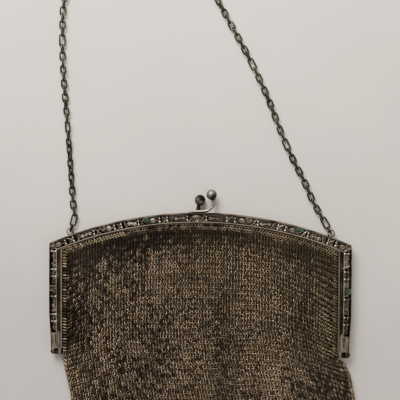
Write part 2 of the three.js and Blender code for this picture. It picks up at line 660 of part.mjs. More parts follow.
// Rows of points from the arch to the bottom edge; each point has its place and its share across
function bagRows(columns) {
  const rows = [];
  const levels = [];
  for (let i = 0; i <= ARM_ROWS; i += 1) levels.push(BAG_TOP_Y + ((SIDE_TOP_Y - BAG_TOP_Y) * i) / ARM_ROWS);
  const cornerTop = BAG_BOTTOM_Y + BAG_CORNER;
  for (const row of BAG_SIDES.slice(1, 3)) {
    levels.push(SIDE_TOP_Y + (BAG_BOTTOM_Y - SIDE_TOP_Y) * row.down);
  }
  const sideStart = levels[levels.length - 1];
  for (let i = 1; i <= SIDE_ROWS; i += 1) levels.push(sideStart + ((cornerTop - sideStart) * i) / SIDE_ROWS);
  for (let i = 1; i <= CORNER_ROWS; i += 1) {
    levels.push(cornerTop - BAG_CORNER * Math.sin((Math.PI / 2) * (i / CORNER_ROWS)));
  }
  for (const level of levels) {
    const [left, right] = bagEdges(level);
    const archShare = 1 - smooth((BAG_TOP_Y - level) / (BAG_TOP_Y - SIDE_TOP_Y));
    const row = [];
    for (let i = 0; i <= columns; i += 1) {
      const even = (2 * i) / columns - 1;
      const share = COLUMN_CROWDING * even + (1 - COLUMN_CROWDING) * even ** 3;
      const x = (left + right) / 2 + ((right - left) / 2) * share;
      const y = level + (archTop(x) - BAG_TOP_Y) * archShare;
      row.push({ x, y, share });
    }
    rows.push(row);
  }
  return rows;
}

// Closes a front grid and a back grid over the same outline into one solid
function pillow(front, back) {
  const rows = front.length;
  const columns = front[0].length;
  const positions = [...front.flat(2), ...back.flat(2)];
  const index = [];
  const at = (side, row, column) => side * rows * columns + row * columns + column;
  const quad = (a, b, c, d) => index.push(a, b, c, a, c, d);
  for (let r = 0; r < rows - 1; r += 1) {
    for (let c = 0; c < columns - 1; c += 1) {
      quad(at(0, r + 1, c), at(0, r + 1, c + 1), at(0, r, c + 1), at(0, r, c));
      quad(at(1, r, c), at(1, r, c + 1), at(1, r + 1, c + 1), at(1, r + 1, c));
    }
    quad(at(1, r, 0), at(1, r + 1, 0), at(0, r + 1, 0), at(0, r, 0));
    quad(at(0, r, columns - 1), at(0, r + 1, columns - 1), at(1, r + 1, columns - 1), at(1, r, columns - 1));
  }
  for (let c = 0; c < columns - 1; c += 1) {
    quad(at(0, 0, c), at(0, 0, c + 1), at(1, 0, c + 1), at(1, 0, c));
    quad(at(1, rows - 1, c), at(1, rows - 1, c + 1), at(0, rows - 1, c + 1), at(0, rows - 1, c));
  }
  const geometry = new THREE.BufferGeometry();
  geometry.setAttribute('position', new THREE.BufferAttribute(new Float32Array(positions), 3));
  geometry.setIndex(index);
  return solid(geometry);
}

function meshBag() {
  const rows = bagRows(BAG_COLUMNS);
  const front = rows.map((row) => row.map((p) => [p.x, p.y, bagHeights(p.x, p.y, p.share)[1]]));
  const back = rows.map((row) => row.map((p) => [p.x, p.y, bagHeights(p.x, p.y, p.share)[0]]));
  const outer = pillow(front, back);

  const last = rows.length - 1 - Math.floor(CORNER_ROWS / 2);
  const kept = rows.filter((_, i) => i <= last && (i % CAVITY_ROW_STEP === 0 || i === last));
  const outward = 1 + ARM_BAND / BAG_HALF_MOUTH / 2;
  const inward = 1 - BAG_SEAM / BAG_HALF_MOUTH;
  const pulled = kept.map((row, r) => row.map((p) => {
    const open = p.y > SIDE_TOP_Y + (archTop(p.x) - BAG_TOP_Y);
    const middle = (row[0].x + row[row.length - 1].x) / 2;
    const x = open ? p.x * outward : middle + (p.x - middle) * inward;
    const y = r === 0 ? p.y + RAIL_WIDTH : p.y;
    const share = open ? THREE.MathUtils.clamp(p.share * outward, -1, 1) : p.share;
    const fromX = open ? share * BAG_HALF_MOUTH : p.x;
    return { x, y, fromX, fromY: p.y, share };
  }));
  const inner = (lift, side) => pulled.map((row) => row.map((p) => {
    const height = bagHeights(p.fromX, p.fromY, p.share)[side];
    return [p.x, p.y, height + lift];
  }));
  const cavity = pillow(inner(-BAG_WALL, 1), inner(BAG_WALL, 0));
  return outer.subtract(cavity);
}

// Materials
const SILVERED = new THREE.MeshStandardMaterial({ color: 0x9b8a80, roughness: 0.38, metalness: 0.95 });
const DARK_SILVER = new THREE.MeshStandardMaterial({ color: 0x6d6058, roughness: 0.45, metalness: 0.95 });
const SATIN_BALL = new THREE.MeshStandardMaterial({ color: 0xb3aea8, roughness: 0.32, metalness: 0.95 });
const GUNMETAL = new THREE.MeshStandardMaterial({ color: 0x4a4542, roughness: 0.42, metalness: 0.95 });
const MESH_METAL = new THREE.MeshStandardMaterial({ color: 0x5e534b, roughness: 0.5, metalness: 0.9 });
const GREEN_GLASS = new THREE.MeshStandardMaterial({ color: 0x2f8f6a, roughness: 0.12, metalness: 0.0 });

const purse = new THREE.Group();

function addPiece(name, geometry, material) {
  const piece = new THREE.Mesh(geometry, material);
  piece.name = name;
  purse.add(piece);
}

const stonePlaces = cupPlaces().filter(({ name }) => STONES_LEFT.includes(name));

addPiece('frame_front', geometryOf(frameFront()), SILVERED);
addPiece('frame_back', geometryOf(frameBack()), DARK_SILVER);
addPiece('hinge_pin_left', geometryOf(hingePin(-1)), GUNMETAL);
addPiece('hinge_pin_right', geometryOf(hingePin(1)), GUNMETAL);
addPiece('clasp_front', geometryOf(claspFront()), SATIN_BALL);
addPiece('clasp_back', geometryOf(claspBack()), DARK_SILVER);
for (const place of stonePlaces) addPiece(`stone_${place.name}`, geometryOf(stone(place)), GREEN_GLASS);
for (const place of EYELETS) {
  addPiece(place.side < 0 ? 'chain_ring_left' : 'chain_ring_right', jumpRing(place), GUNMETAL);
}
addPiece('chain', chain(), GUNMETAL);
addPiece('mesh_bag', geometryOf(meshBag()), MESH_METAL);

export default purse;
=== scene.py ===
# Metal mesh purse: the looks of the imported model. Lengths are in millimetres, and meshes are made in metres.

import math
from collections import namedtuple

import bpy
import numpy as np
from bpy.props import FloatProperty, FloatVectorProperty, IntProperty, PointerProperty
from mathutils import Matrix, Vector


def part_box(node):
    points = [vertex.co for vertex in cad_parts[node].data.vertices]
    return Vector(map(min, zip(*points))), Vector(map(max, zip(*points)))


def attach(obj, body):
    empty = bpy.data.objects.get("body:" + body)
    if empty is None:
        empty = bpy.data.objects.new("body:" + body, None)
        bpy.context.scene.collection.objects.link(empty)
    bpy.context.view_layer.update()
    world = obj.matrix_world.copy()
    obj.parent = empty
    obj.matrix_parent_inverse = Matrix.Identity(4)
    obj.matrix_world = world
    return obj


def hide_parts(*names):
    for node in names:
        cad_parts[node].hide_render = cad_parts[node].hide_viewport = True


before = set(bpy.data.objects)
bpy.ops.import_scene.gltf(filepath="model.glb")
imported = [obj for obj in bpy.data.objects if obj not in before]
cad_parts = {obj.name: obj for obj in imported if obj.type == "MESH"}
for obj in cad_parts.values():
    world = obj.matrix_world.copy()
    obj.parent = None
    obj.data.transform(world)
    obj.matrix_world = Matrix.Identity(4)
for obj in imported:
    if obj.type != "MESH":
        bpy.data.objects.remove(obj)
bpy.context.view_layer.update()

bl_info = {
    "name": "Metal mesh purse",
    "version": (1, 0, 0),
    "blender": (4, 5, 0),
    "location": "View3D > Sidebar > Purse",
    "description": "Builds the pierced frame, ring mesh, clasp, stones and chain of a metal mesh purse",
    "category": "Object",
}

MM = 0.001
UP = np.array([0.0, 0.0, 1.0])


def box_mm(node):
    """Lowest and highest corner of a CAD node."""
    low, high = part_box(node)
    return np.array(low) / MM, np.array(high) / MM


# Places of the CAD model
FRAME_HIGH = box_mm("frame_front")[1]
BAG_LOW, BAG_HIGH = box_mm("mesh_bag")
PIN_LOW, PIN_HIGH = box_mm("hinge_pin_right")
CUP_HEIGHT = 0.9
FACE_Z = FRAME_HIGH[2] - CUP_HEIGHT
MIDDLE_Z = FACE_Z / 2
SEAT_GAP = 0.3
HALF_WIDTH = FRAME_HIGH[0]
APEX_Y = FRAME_HIGH[1]
HINGE_Y = (PIN_LOW[1] + PIN_HIGH[1]) / 2

# Frame, as in the CAD source
ARCH_RISE = 15.5
TOP_BAND = 5.7
ARM_BAND = 6.2
RAIL_WIDTH = 1.2
ARM_GROOVE = 0.6
RIM_WIDTH = 1.0
KNUCKLE_RADIUS = 1.6
ARCH_RADIUS = (HALF_WIDTH ** 2 + ARCH_RISE ** 2) / (2 * ARCH_RISE)
ARCH_CENTRE_Y = APEX_Y - ARCH_RADIUS
CORNER_Y = APEX_Y - ARCH_RISE
ARM_END_Y = HINGE_Y + KNUCKLE_RADIUS + SEAT_GAP
TOP_PIERCED = TOP_BAND - RAIL_WIDTH
ARM_PIERCED = ARM_BAND - RAIL_WIDTH - ARM_GROOVE
PATTERN_INSET = (RIM_WIDTH + TOP_PIERCED) / 2
ARM_PATTERN_INSET = (RIM_WIDTH + ARM_PIERCED) / 2
HALF_JOINT_Z = MIDDLE_Z + SEAT_GAP / 2
SHEET_Z = FACE_Z - 0.4
CUP_RADIUS = 1.5
CUP_WALL = 0.4
CUP_SPREAD = 25.2
CUP_STEPS = (-1.92, -1.05, 0.97, 1.97)
CUP_INSET = 1.6
PATTERN_MIDDLE = -1.3
ARM_CUP_DROP = 22.5
RING_WIRE = 0.4
RING_RADIUS = 1.9
EYELET_RADIUS = 1.95
EYELET_HOLE = 1.3
FRONT_BALL = 2.65
BACK_BALL = 2.75

# Lever of the front clasp: x and height over the frame's upper edge
LEVER_ROUTE = ((-5.6, -0.1), (-2.5, 0.0), (1.2, 0.05), (4.0, 0.5), (6.2, 2.3), (7.0, 4.6), (6.5, 6.8))
LEVER_STEPS = 40
# Its collar: distance from the ball's middle and radius
COLLAR = ((2.2, 1.15), (2.7, 1.1), (3.0, 0.85))

# Frame, in this script only
END_PLATE = 7.8
ARM_TAPER = 1.0
TAPER_START_Y = CORNER_Y - 32
TAPER_LENGTH = 20
STRIP_INSET = 6.2
ARCH_STEPS = 72
ARM_STEPS = 16
STONES = ("stone_left", "stone_right_outer", "stone_arm_right")
GLASS = {"IOR": 1.55, "Transmission Weight": 0.35, "Coat Weight": 0.6, "Coat Roughness": 0.05}
# Finish numbers of the frame's pieces
PLATE, RAIL, GROOVE = range(3)
# Band profiles of the frame: inset at the arch, inset at the arms, z
OUTER_RIM = [
    (0.0, 0.0, HALF_JOINT_Z), (0.0, 0.0, FACE_Z - 0.5), (0.12, 0.08, FACE_Z - 0.15), (0.35, 0.22, FACE_Z),
    (0.60, 0.38, FACE_Z - 0.08), (0.80, 0.54, FACE_Z - 0.4), (0.84, 0.58, HALF_JOINT_Z),
]
INNER_RIM = [
    (4.2, 3.45, SHEET_Z - 0.8), (4.2, 3.45, FACE_Z - 0.3), (4.33, 3.6, FACE_Z - 0.02),
    (4.68, 3.97, FACE_Z - 0.02), (4.83, 4.15, FACE_Z - 0.3), (4.83, 4.15, SHEET_Z - 0.8),
]
GROOVE_FLOOR = [
    (4.8, 4.1, SHEET_Z - 1.3), (4.8, 4.1, SHEET_Z - 0.8),
    (4.95, 5.75, SHEET_Z - 0.8), (4.95, 5.75, SHEET_Z - 1.3),
]
GROOVE_LINE = [
    (4.82, 4.84, SHEET_Z - 1.0), (4.82, 4.86, FACE_Z - 0.55), (4.85, 5.0, FACE_Z - 0.45),
    (4.88, 5.14, FACE_Z - 0.55), (4.88, 5.16, SHEET_Z - 1.0),
]
MESH_RAIL = [
    (4.87, 5.7, SHEET_Z - 1.3), (4.87, 5.7, FACE_Z - 0.5), (4.98, 5.82, FACE_Z - 0.28),
    (5.15, 6.05, FACE_Z - 0.26), (5.32, 6.3, FACE_Z - 0.42), (5.5, 6.5, FACE_Z - 0.55),
    (5.64, 6.68, FACE_Z - 0.75), (5.7, 6.75, FACE_Z - 1.0), (5.7, 6.75, SHEET_Z - 1.3),
]
# The bands under the openwork, with the finish of each and its height mark; the outer rim's low mark is
# painted shade
BANDS = [
    (OUTER_RIM, PLATE, 0.25), (INNER_RIM, PLATE, None),
    (GROOVE_FLOOR, GROOVE, 0.0), (GROOVE_LINE, PLATE, 0.3),
]

# Bag, as in the CAD source
BAG_TOP_Y = BAG_HIGH[1]
BAG_BOTTOM_Y = BAG_LOW[1]
BAG_DEPTH = BAG_TOP_Y - BAG_BOTTOM_Y
BAG_HALF_MOUTH = HALF_WIDTH - ARM_BAND - SEAT_GAP
SIDE_TOP_Y = HINGE_Y - KNUCKLE_RADIUS - SEAT_GAP
BAG_THICKNESS = 9.4
MOUTH_THICKNESS = 7.1
BAG_CORNER = 30
HEM_THICKNESS = 5.2
HEM_ROUNDING = 1.3
FOLD_HEIGHT = 1.6
FOLD_EASE = 18
BOTTOM_FULLNESS = 0.25
# Depth of the rings' middle and of the dark sheet of painted shade inside under the solid's faces
RING_SINK = 0.75
BACK_SINK = 1.07
GROUND_SINK = 1.6
# How the rows lie: drop at the arms and how far down the bag it grows and goes, first and last row,
# columns' easing, spin beside the arms
ROW_DROP = 12.0
DROP_IN = 30
DROP_OUT = 60
FIRST_ROW = 2.6
LAST_ROW = 1.0
COLUMN_EASING = (-16, -8, 0, 8, 16)
ARM_SPIN = math.radians(48)
EDGE_MARGIN = 0.9
# Beside the arms every other row lies deeper and is painted darker as shade: the share of the half mouth
# where that starts and its run, the distance below the hinges where it ends and its run, and the depth
DEEP_FROM = 0.68
DEEP_RUN = 0.1
DEEP_BELOW = 30
DEEP_FADE = 25
DEEP_SINK = 0.3
# Where the rings spin beside the arms, in the same way, and the run of it below the mouth
SPIN_FROM = 0.8
SPIN_RUN = 0.12
SPIN_BELOW = 12
SPIN_FADE = 20
SPIN_GROWTH = 14
# Unevenness of the rings: place in mm, lean and spin in radians, tone
RING_JITTER = 0.13
LEAN_SPREAD = math.radians(13)
SPIN_SPREAD = math.radians(8)
TONE_SPREAD = 0.36
# Painted shade on the rings under the arch and beside the arms
ARCH_SHADE = 0.8
ARM_SHADE = 0.3
# Part of the arch, in x, where the edge's loops are pulled aside
LOOSE_LOOPS = (-59.5, -37.5)
# Upright rings under the arch: distance from the rail and height of each row; drop and spin of loose loops
ARCH_ROWS = ((0.45, 6.75), (1.7, 6.6))
LOOP_DROP = 0.65
LOOP_SPIN = -0.44
# Rings beside the arms: slant at the left and at the right in radians, inset from the frame's side, height
BAR_SLANTS = ((-1, 0.12), (1, -0.5))
BAR_INSET = 7.85
BAR_START = 1.6
BAR_Z = 6.5
# Dark sheet of painted shade inside: rows and columns, reach over the mouth, short of the bottom and across,
# spacing, pinch
GROUND_ROWS = 90
GROUND_COLUMNS = 80
GROUND_OVER = 0.3
GROUND_SHORT = 0.9
GROUND_SHARE = 0.997
GROUND_SPACING = 1.15
GROUND_PINCH = 0.8
GROUND_WALL = 0.15
# Sheets of rings: name, whether it is the upper one, sides of the wire, steps round a ring, seed
SHEETS = [("front", True, 3, 6, 11), ("back", False, 3, 5, 12)]
# Directions of the hem's rings from one face of the bag round to the other and their change from step
# to step, in degrees; inset of their middle, and of the place where the bag's thickness is taken
HEM_ANGLES = (-62, -20, 20, 62)
HEM_TURN = 10
HEM_INSET = 1.5
HEM_PROBE = 2.0
# Rings of the arch's lattice, its loose loops and the arms' bars: half width, half height, wire radius,
# steps round the ring, sides of the wire; and tone
EDGE_FORMS = [
    ((0.66, 0.68, 0.13, 10, 5), 0.25),
    ((0.34, 1.05, 0.17, 12, 5), 0.6),
    ((0.17, 1.05, 0.17, 10, 5), 0.18),
]

# Side outline under the hinges, in shares of the depth there and of half the mouth
SIDE_DOWN = [0.00, 0.025, 0.09, 0.15, 0.21, 0.40, 0.62, 0.80, 1.00]
SIDE_LEFT = [0.997, 1.004, 0.988, 0.968, 0.949, 0.920, 0.905, 0.915, 0.930]
SIDE_RIGHT = [0.997, 1.062, 1.102, 1.118, 1.134, 1.160, 1.165, 1.150, 1.130]

# Folds of the front, in shares of half the mouth (across) and of the depth (down)
Streak = namedtuple("Streak", "from_across from_down to_across to_down width amount")
FOLDS = [
    Streak(0.17, 0.20, 0.20, 0.86, 0.045, -1.00),
    Streak(0.09, 0.22, 0.10, 0.84, 0.050, 0.85),
    Streak(0.28, 0.20, 0.33, 0.86, 0.060, 0.80),
    Streak(-0.08, 0.22, -0.10, 0.60, 0.055, 0.55),
    Streak(-0.01, 0.24, -0.01, 0.66, 0.045, -0.45),
    Streak(0.50, 0.06, 0.56, 0.72, 0.070, 0.70),
    Streak(0.42, 0.10, 0.45, 0.70, 0.055, -0.55),
    Streak(0.72, 0.10, 0.90, 0.52, 0.060, -0.95),
    Streak(0.82, 0.10, 1.02, 0.50, 0.060, 0.75),
    Streak(0.66, 0.14, 0.76, 0.60, 0.060, 0.55),
    Streak(-0.60, 0.05, -0.62, 0.66, 0.090, 0.60),
    Streak(-0.72, 0.07, -0.86, 0.48, 0.060, -0.95),
    Streak(-0.40, 0.10, -0.36, 0.74, 0.080, -0.45),
    Streak(-0.24, 0.08, -0.22, 0.70, 0.075, 0.45),
    Streak(0.10, 0.01, 0.14, 0.16, 0.120, -0.50),
]
# Rings painted bright or dark along the folds: partly wear and patina, partly painted fold light and shade
WEAR_AND_SHADE = [
    Streak(-0.26, 0.09, -0.02, 0.51, 0.12, 0.16),
    Streak(-0.02, 0.45, 0.06, 0.75, 0.10, 0.14),
    Streak(0.11, 0.20, 0.21, 0.53, 0.085, -0.22),
    Streak(0.21, 0.50, 0.26, 0.80, 0.085, -0.25),
    Streak(0.36, 0.11, 0.55, 0.53, 0.12, 0.22),
    Streak(0.55, 0.50, 0.62, 0.85, 0.12, 0.20),
    Streak(0.50, 0.44, 0.56, 0.56, 0.09, 0.25),
    Streak(0.61, 0.11, 0.76, 0.29, 0.13, -0.15),
    Streak(0.74, 0.26, 0.80, 0.40, 0.07, -0.30),
    Streak(0.80, 0.40, 0.92, 0.53, 0.08, -0.20),
    Streak(0.84, 0.18, 0.94, 0.34, 0.05, 0.20),
    Streak(-0.80, 0.05, -0.84, 0.25, 0.12, -0.20),
    Streak(-0.86, 0.25, -0.99, 0.42, 0.13, -0.38),
    Streak(-0.36, 0.33, -0.28, 0.52, 0.07, -0.12),
    Streak(-0.72, 0.32, -0.68, 0.52, 0.08, 0.05),
]

# Route of the chain from the left eyelet to the right one, as in the CAD source
CHAIN_ROUTE = [
    (-63.2, 2.6), (-64.0, 10.6), (-65.4, 30.0), (-67.0, 50.6), (-68.4, 67.1), (-69.3, 80.6),
    (-69.5, 95.1), (-68.5, 111.6), (-63.0, 129.5), (-51.5, 143.0), (-36.0, 149.5), (-19.5, 146.5),
    (-6.0, 135.0), (8.0, 111.2), (14.3, 99.8), (22.0, 85.9), (27.1, 76.0), (33.6, 61.9),
    (40.0, 45.5), (46.2, 31.6), (51.5, 21.5), (56.6, 10.2), (61.6, 1.6),
]
# Middle of the links over the solid chain's underside
CHAIN_REST = 1.8
# Steps round one link
LINK_STEPS = 20

# Scales of the fine unevenness of the plate and of the rings
PLATE_GRAIN = 2600.0
RING_GRAIN = 5200.0
# Angles from which on an edge is shown sharp
METAL_CREASE = math.radians(42)
WIRE_CREASE = math.radians(80)
STONE_CREASE = math.radians(5)

# Camera, in metres and degrees
CAMERA_PLACE = (0.02005, 0.02029, 0.4311)
CAMERA_TURN = (-1.18, 2.68, 0.30)
CAMERA_LENS = 77.4
SENSOR_WIDTH = 36.0
# Lamps: name, place and size in metres, share of the key light's power, colour
LAMPS = [
    ("key light", (-0.15, 0.40, 0.42), 0.30, 1.0, (1.0, 0.97, 0.92)),
    ("fill light", (0.45, -0.30, 0.60), 0.60, 0.22, (1.0, 0.96, 0.93)),
]
SKY_COLOUR = (1.0, 0.965, 0.91, 1.0)
# Floor, in metres: half its side and its height, just under the part
FLOOR_REACH = 1.6
FLOOR_Z = -0.00003


# Mesh tools

def unit(vectors):
    return vectors / np.linalg.norm(vectors, axis=-1, keepdims=True)


def smooth(value):
    t = np.clip(value, 0, 1)
    return t * t * (3 - 2 * t)


def ring_faces(rows, columns, closed=False):
    """Faces over rows of points that are each a closed ring, with an end face on both ends unless closed."""
    faces = []
    for r in range(rows if closed else rows - 1):
        this, following = r * columns, (r + 1) % rows * columns
        for c in range(columns):
            nxt = (c + 1) % columns
            faces.append((this + c, this + nxt, following + nxt, following + c))
    if not closed:
        faces.append(tuple(range(columns))[::-1])
        faces.append(tuple(range((rows - 1) * columns, rows * columns)))
    return faces


def tube(path, radius, sides=8, up=UP, flat=1.0, closed=False):
    """A round or flattened bar along a path, whose radius may change on the way."""
    path = np.asarray(path, float)
    radii = np.broadcast_to(np.asarray(radius, float), (len(path),))[:, None, None]
    if closed:
        along = unit(np.roll(path, -1, 0) - np.roll(path, 1, 0))
    else:
        along = unit(np.gradient(path, axis=0))
    across = unit(np.cross(np.broadcast_to(np.asarray(up, float), path.shape), along))
    lift = np.cross(along, across)
    turn = (np.arange(sides) + 0.5) * 2 * math.pi / sides
    section = across[:, None] * np.cos(turn)[:, None] + lift[:, None] * np.sin(turn)[:, None] * flat
    points = path[:, None] + section * radii
    return points.reshape(-1, 3), ring_faces(len(path), sides, closed)


def turned(profile, sides, centre, along=2):
    """A form turned about an axis through its centre; the profile is of (radius, height) pairs."""
    points, rows, faces = [], [], []
    for radius, height in profile:
        count = sides if radius > 0 else 1
        rows.append([len(points) + i for i in range(count)])
        for i in range(count):
            turn = 2 * math.pi * i / sides
            points.append((radius * math.cos(turn), radius * math.sin(turn), height))
    for low, high in zip(rows, rows[1:]):
        for i in range(sides):
            corners = [row[(i + step) % len(row)] for row, step in ((low, 0), (low, 1), (high, 1), (high, 0))]
            faces.append(tuple(dict.fromkeys(corners)))
    if len(rows[0]) > 1:
        faces.append(tuple(rows[0])[::-1])
    if len(rows[-1]) > 1:
        faces.append(tuple(rows[-1]))
    return np.roll(points, along + 1, axis=1) + np.asarray(centre, float), faces


def ball_profile(radius, rows):
    """From the lowest point of a ball to its highest."""
    angles = np.linspace(-math.pi / 2, math.pi / 2, rows + 1)
    return [(radius * math.cos(a) if 0 < i < rows else 0, radius * math.sin(a)) for i, a in enumerate(angles)]


def circle(count):
    """Angles round a full turn."""
    return np.linspace(0, 2 * math.pi, count, endpoint=False)


def block(low, high, bevel):
    """A bar with square faces and bevelled long edges on its upper side."""
    (x0, y0, z0), (x1, y1, z1) = low, high
    rings = [(0, z0), (0, z1 - bevel), (bevel, z1)]
    points = [(x, y, z) for inset, z in rings
              for x, y in ((x0 + inset, y0 + inset), (x1 - inset, y0 + inset),
                           (x1 - inset, y1 - inset), (x0 + inset, y1 - inset))]
    return np.array(points, float), ring_faces(len(rings), 4)


def facing_out(points, faces):
    """The faces of a closed form, turned to face out of it."""
    fans = np.array([(f[0], f[i], f[i + 1]) for f in faces for i in range(1, len(f) - 1)])
    a, b, c = (points[fans[:, i]] - points[0] for i in range(3))
    return faces if np.sum(a * np.cross(b, c)) > 0 else [f[::-1] for f in faces]


def height_mark(z):
    """From 0 in the openwork's hollows to 1 on its tops."""
    return np.clip((z - SHEET_Z + 0.12) / 0.75, 0, 1)


class Metalwork:
    """Closed forms of one piece, with a finish number for each and a height mark for each point."""

    def __init__(self):
        self.points, self.faces, self.finishes, self.rises = [], [], [], []
        self.count = 0

    def add(self, form, where=None, finish=PLATE, rise=None):
        points, faces = form
        given = points
        if where:
            points = where(points)
        for face in facing_out(points, faces):
            self.faces.append(tuple(i + self.count for i in face))
            self.finishes.append(finish)
        if rise is None:
            rise = height_mark(given[:, 2])
        self.rises.append(np.broadcast_to(np.asarray(rise, float), (len(points),)))
        self.points.append(points)
        self.count += len(points)


def mark(mesh, name, values):
    """Keeps one number for each point, for the materials to read."""
    mesh.attributes.new(name, "FLOAT", "POINT").data.foreach_set("value", np.asarray(values, np.float32))


def settle(name, mesh, materials, replaced):
    """Shows a finished mesh as a piece of the part."""
    for material in materials:
        mesh.materials.append(material)
    piece = bpy.data.objects.new(name, mesh)
    bpy.context.scene.collection.objects.link(piece)
    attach(piece, "root")
    if replaced:
        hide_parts(*replaced)
    return piece


def metal_piece(name, work, materials, replaced, crease=METAL_CREASE):
    """Makes a piece from gathered forms."""
    points = np.concatenate(work.points)
    mesh = bpy.data.meshes.new(name)
    mesh.from_pydata((points * MM).tolist(), [], work.faces)
    mesh.polygons.foreach_set("material_index", work.finishes)
    mark(mesh, "rise", np.concatenate(work.rises))
    mark(mesh, "green", verdigris(points))
    mesh.shade_smooth()
    mesh.set_sharp_from_angle(angle=crease)
    return settle(name, mesh, materials, replaced)


# Node tools

class Graph:
    """Short calls that add nodes to one tree."""

    def __init__(self, tree):
        self.tree = tree

    def add(self, kind, inputs=None, **settings):
        node = self.tree.nodes.new(kind)
        for key, value in settings.items():
            setattr(node, key, value)
        return self.feed(node, inputs or {})

    def feed(self, node, inputs):
        """Links or sets a node's inputs."""
        for key, value in inputs.items():
            if isinstance(value, bpy.types.NodeSocket):
                self.tree.links.new(value, node.inputs[key])
            else:
                node.inputs[key].default_value = value
        return node

    def math(self, operation, a, b=0.0, clamp=False):
        return self.add("ShaderNodeMath", {0: a, 1: b}, operation=operation, use_clamp=clamp).outputs[0]

    def mix(self, share, a, b):
        return self.add("ShaderNodeMix", {0: share, 6: a, 7: b}, data_type="RGBA").outputs[2]

    def ramp(self, value, low, high, to_low=0.0, to_high=1.0):
        return self.add("ShaderNodeMapRange", {0: value, 1: low, 2: high, 3: to_low, 4: to_high}).outputs[0]

    def noise(self, scale, detail=2.0):
        place = self.add("ShaderNodeTexCoord").outputs["Object"]
        return self.add("ShaderNodeTexNoise", {"Vector": place, "Scale": scale, "Detail": detail}).outputs[0]

    def read(self, name):
        return self.add("ShaderNodeAttribute", attribute_name=name).outputs["Fac"]


def colour(values):
    return (*values, 1.0)


def new_group(name, inputs, outputs):
    """An empty shader node group with named sockets, its tree's short calls and its two ends."""
    tree = bpy.data.node_groups.new(name, "ShaderNodeTree")
    kinds = {"C": "NodeSocketColor", "F": "NodeSocketFloat", "V": "NodeSocketVector"}
    for direction, sockets in (("INPUT", inputs), ("OUTPUT", outputs)):
        for socket, kind in sockets:
            tree.interface.new_socket(name=socket, in_out=direction, socket_type=kinds[kind])
    graph = Graph(tree)
    return graph, graph.add("NodeGroupInput").outputs, graph.add("NodeGroupOutput")


def patina_group():
    """Worn plate: bright tops and dark hollows, partly wear and patina and partly painted light and shade;
    painted dark reflection at grazing edges; green bloom, fine scratches.
    """
    graph, given, end = new_group(
        "Worn plate",
        [("Tops", "C"), ("Hollows", "C"), ("Bloom", "C"), ("Rise", "F"), ("Green", "F"),
         ("Grazing Reflection", "F"), ("Polish", "F"), ("Patch Scale", "F"), ("Grain Scale", "F")],
        [("Colour", "C"), ("Roughness", "F"), ("Normal", "V")],
    )
    patches = graph.noise(given["Patch Scale"])
    grain = graph.noise(given["Grain Scale"], 3.0)
    shifted = graph.math("ADD", given["Rise"], graph.ramp(patches, 0.3, 0.7, -0.25, 0.25))
    worn = graph.math("ADD", shifted, graph.ramp(grain, 0.3, 0.7, -0.12, 0.12), clamp=True)
    # Bright tops and dark hollows by the height mark: partly wear and patina, partly painted light and shade
    plate = graph.mix(worn, given["Hollows"], given["Tops"])
    bloom = graph.math("MULTIPLY", given["Green"], graph.ramp(patches, 0.35, 0.65, 0.35, 1.0), clamp=True)
    surface = graph.mix(bloom, plate, given["Bloom"])
    # Painted dark reflection: surfaces seen at a grazing angle turn towards the hollows' colour
    darkened_at_grazing = graph.mix(graph.ramp(given["Grazing Reflection"], 0.25, 0.85, 0.0, 0.9), surface, given["Hollows"])
    dull = graph.ramp(worn, 0.0, 1.0, 0.28, 0.0)
    uneven = graph.ramp(grain, 0.3, 0.7, -0.05, 0.08)
    rough = graph.math("ADD", given["Polish"], graph.math("ADD", dull, uneven))
    bump = graph.add("ShaderNodeBump", {"Strength": 0.25, "Distance": 0.0001, "Height": grain})
    graph.feed(end, {"Colour": darkened_at_grazing, "Roughness": rough, "Normal": bump.outputs[0]})
    return graph.tree


def ring_group():
    """Fine rings: each ring has its own tone, and patches of the bag are darker, warmer or greyer; a painted
    dark reflection darkens the rings where they are seen at a grazing angle.
    """
    graph, given, end = new_group(
        "Ring tones",
        [("Dark", "C"), ("Light", "C"), ("Warm", "C"), ("Tone", "F"), ("Grazing Reflection", "F"), ("Polish", "F"),
         ("Patch Scale", "F")],
        [("Colour", "C"), ("Roughness", "F"), ("Normal", "V")],
    )
    broad = graph.noise(given["Patch Scale"], 1.0)
    other = graph.noise(graph.math("MULTIPLY", given["Patch Scale"], 0.53), 1.0)
    grain = graph.noise(RING_GRAIN, 2.0)
    share = graph.math("ADD", given["Tone"], graph.ramp(broad, 0.3, 0.7, -0.12, 0.12), clamp=True)
    toned = graph.mix(share, given["Dark"], given["Light"])
    warmed = graph.mix(graph.ramp(other, 0.42, 0.68, 0.0, 0.45), toned, given["Warm"])
    # Painted dark reflection: rings seen at a grazing angle turn towards the dark tone
    darkened_at_grazing = graph.mix(graph.ramp(given["Grazing Reflection"], 0.3, 0.9, 0.0, 0.85), warmed, given["Dark"])
    rough = graph.math("ADD", given["Polish"], graph.ramp(share, 0.0, 1.0, 0.12, -0.05))
    bump = graph.add("ShaderNodeBump", {"Strength": 0.15, "Distance": 0.00005, "Height": grain})
    graph.feed(end, {"Colour": darkened_at_grazing, "Roughness": rough, "Normal": bump.outputs[0]})
    return graph.tree


def shared_group(name, maker):
    return bpy.data.node_groups.get(name) or maker()


def new_material(name, display):
    material = bpy.data.materials.new(name)
    material.use_nodes = True
    material.diffuse_color = colour(display)
    material.node_tree.nodes.clear()
    graph = Graph(material.node_tree)
    shader = graph.add("ShaderNodeBsdfPrincipled")
    graph.add("ShaderNodeOutputMaterial", {0: shader.outputs[0]})
    return material, graph, shader


def wire_up(graph, shader, group, metallic):
    # Layer weight's facing drives the painted dark reflection at grazing angles
    facing = graph.add("ShaderNodeLayerWeight", {"Blend": 0.5}).outputs["Facing"]
    graph.feed(group, {"Grazing Reflection": facing})
    made = group.outputs
    graph.feed(shader, {"Base Color": made["Colour"], "Roughness": made["Roughness"],
                        "Normal": made["Normal"], "Metallic": metallic})


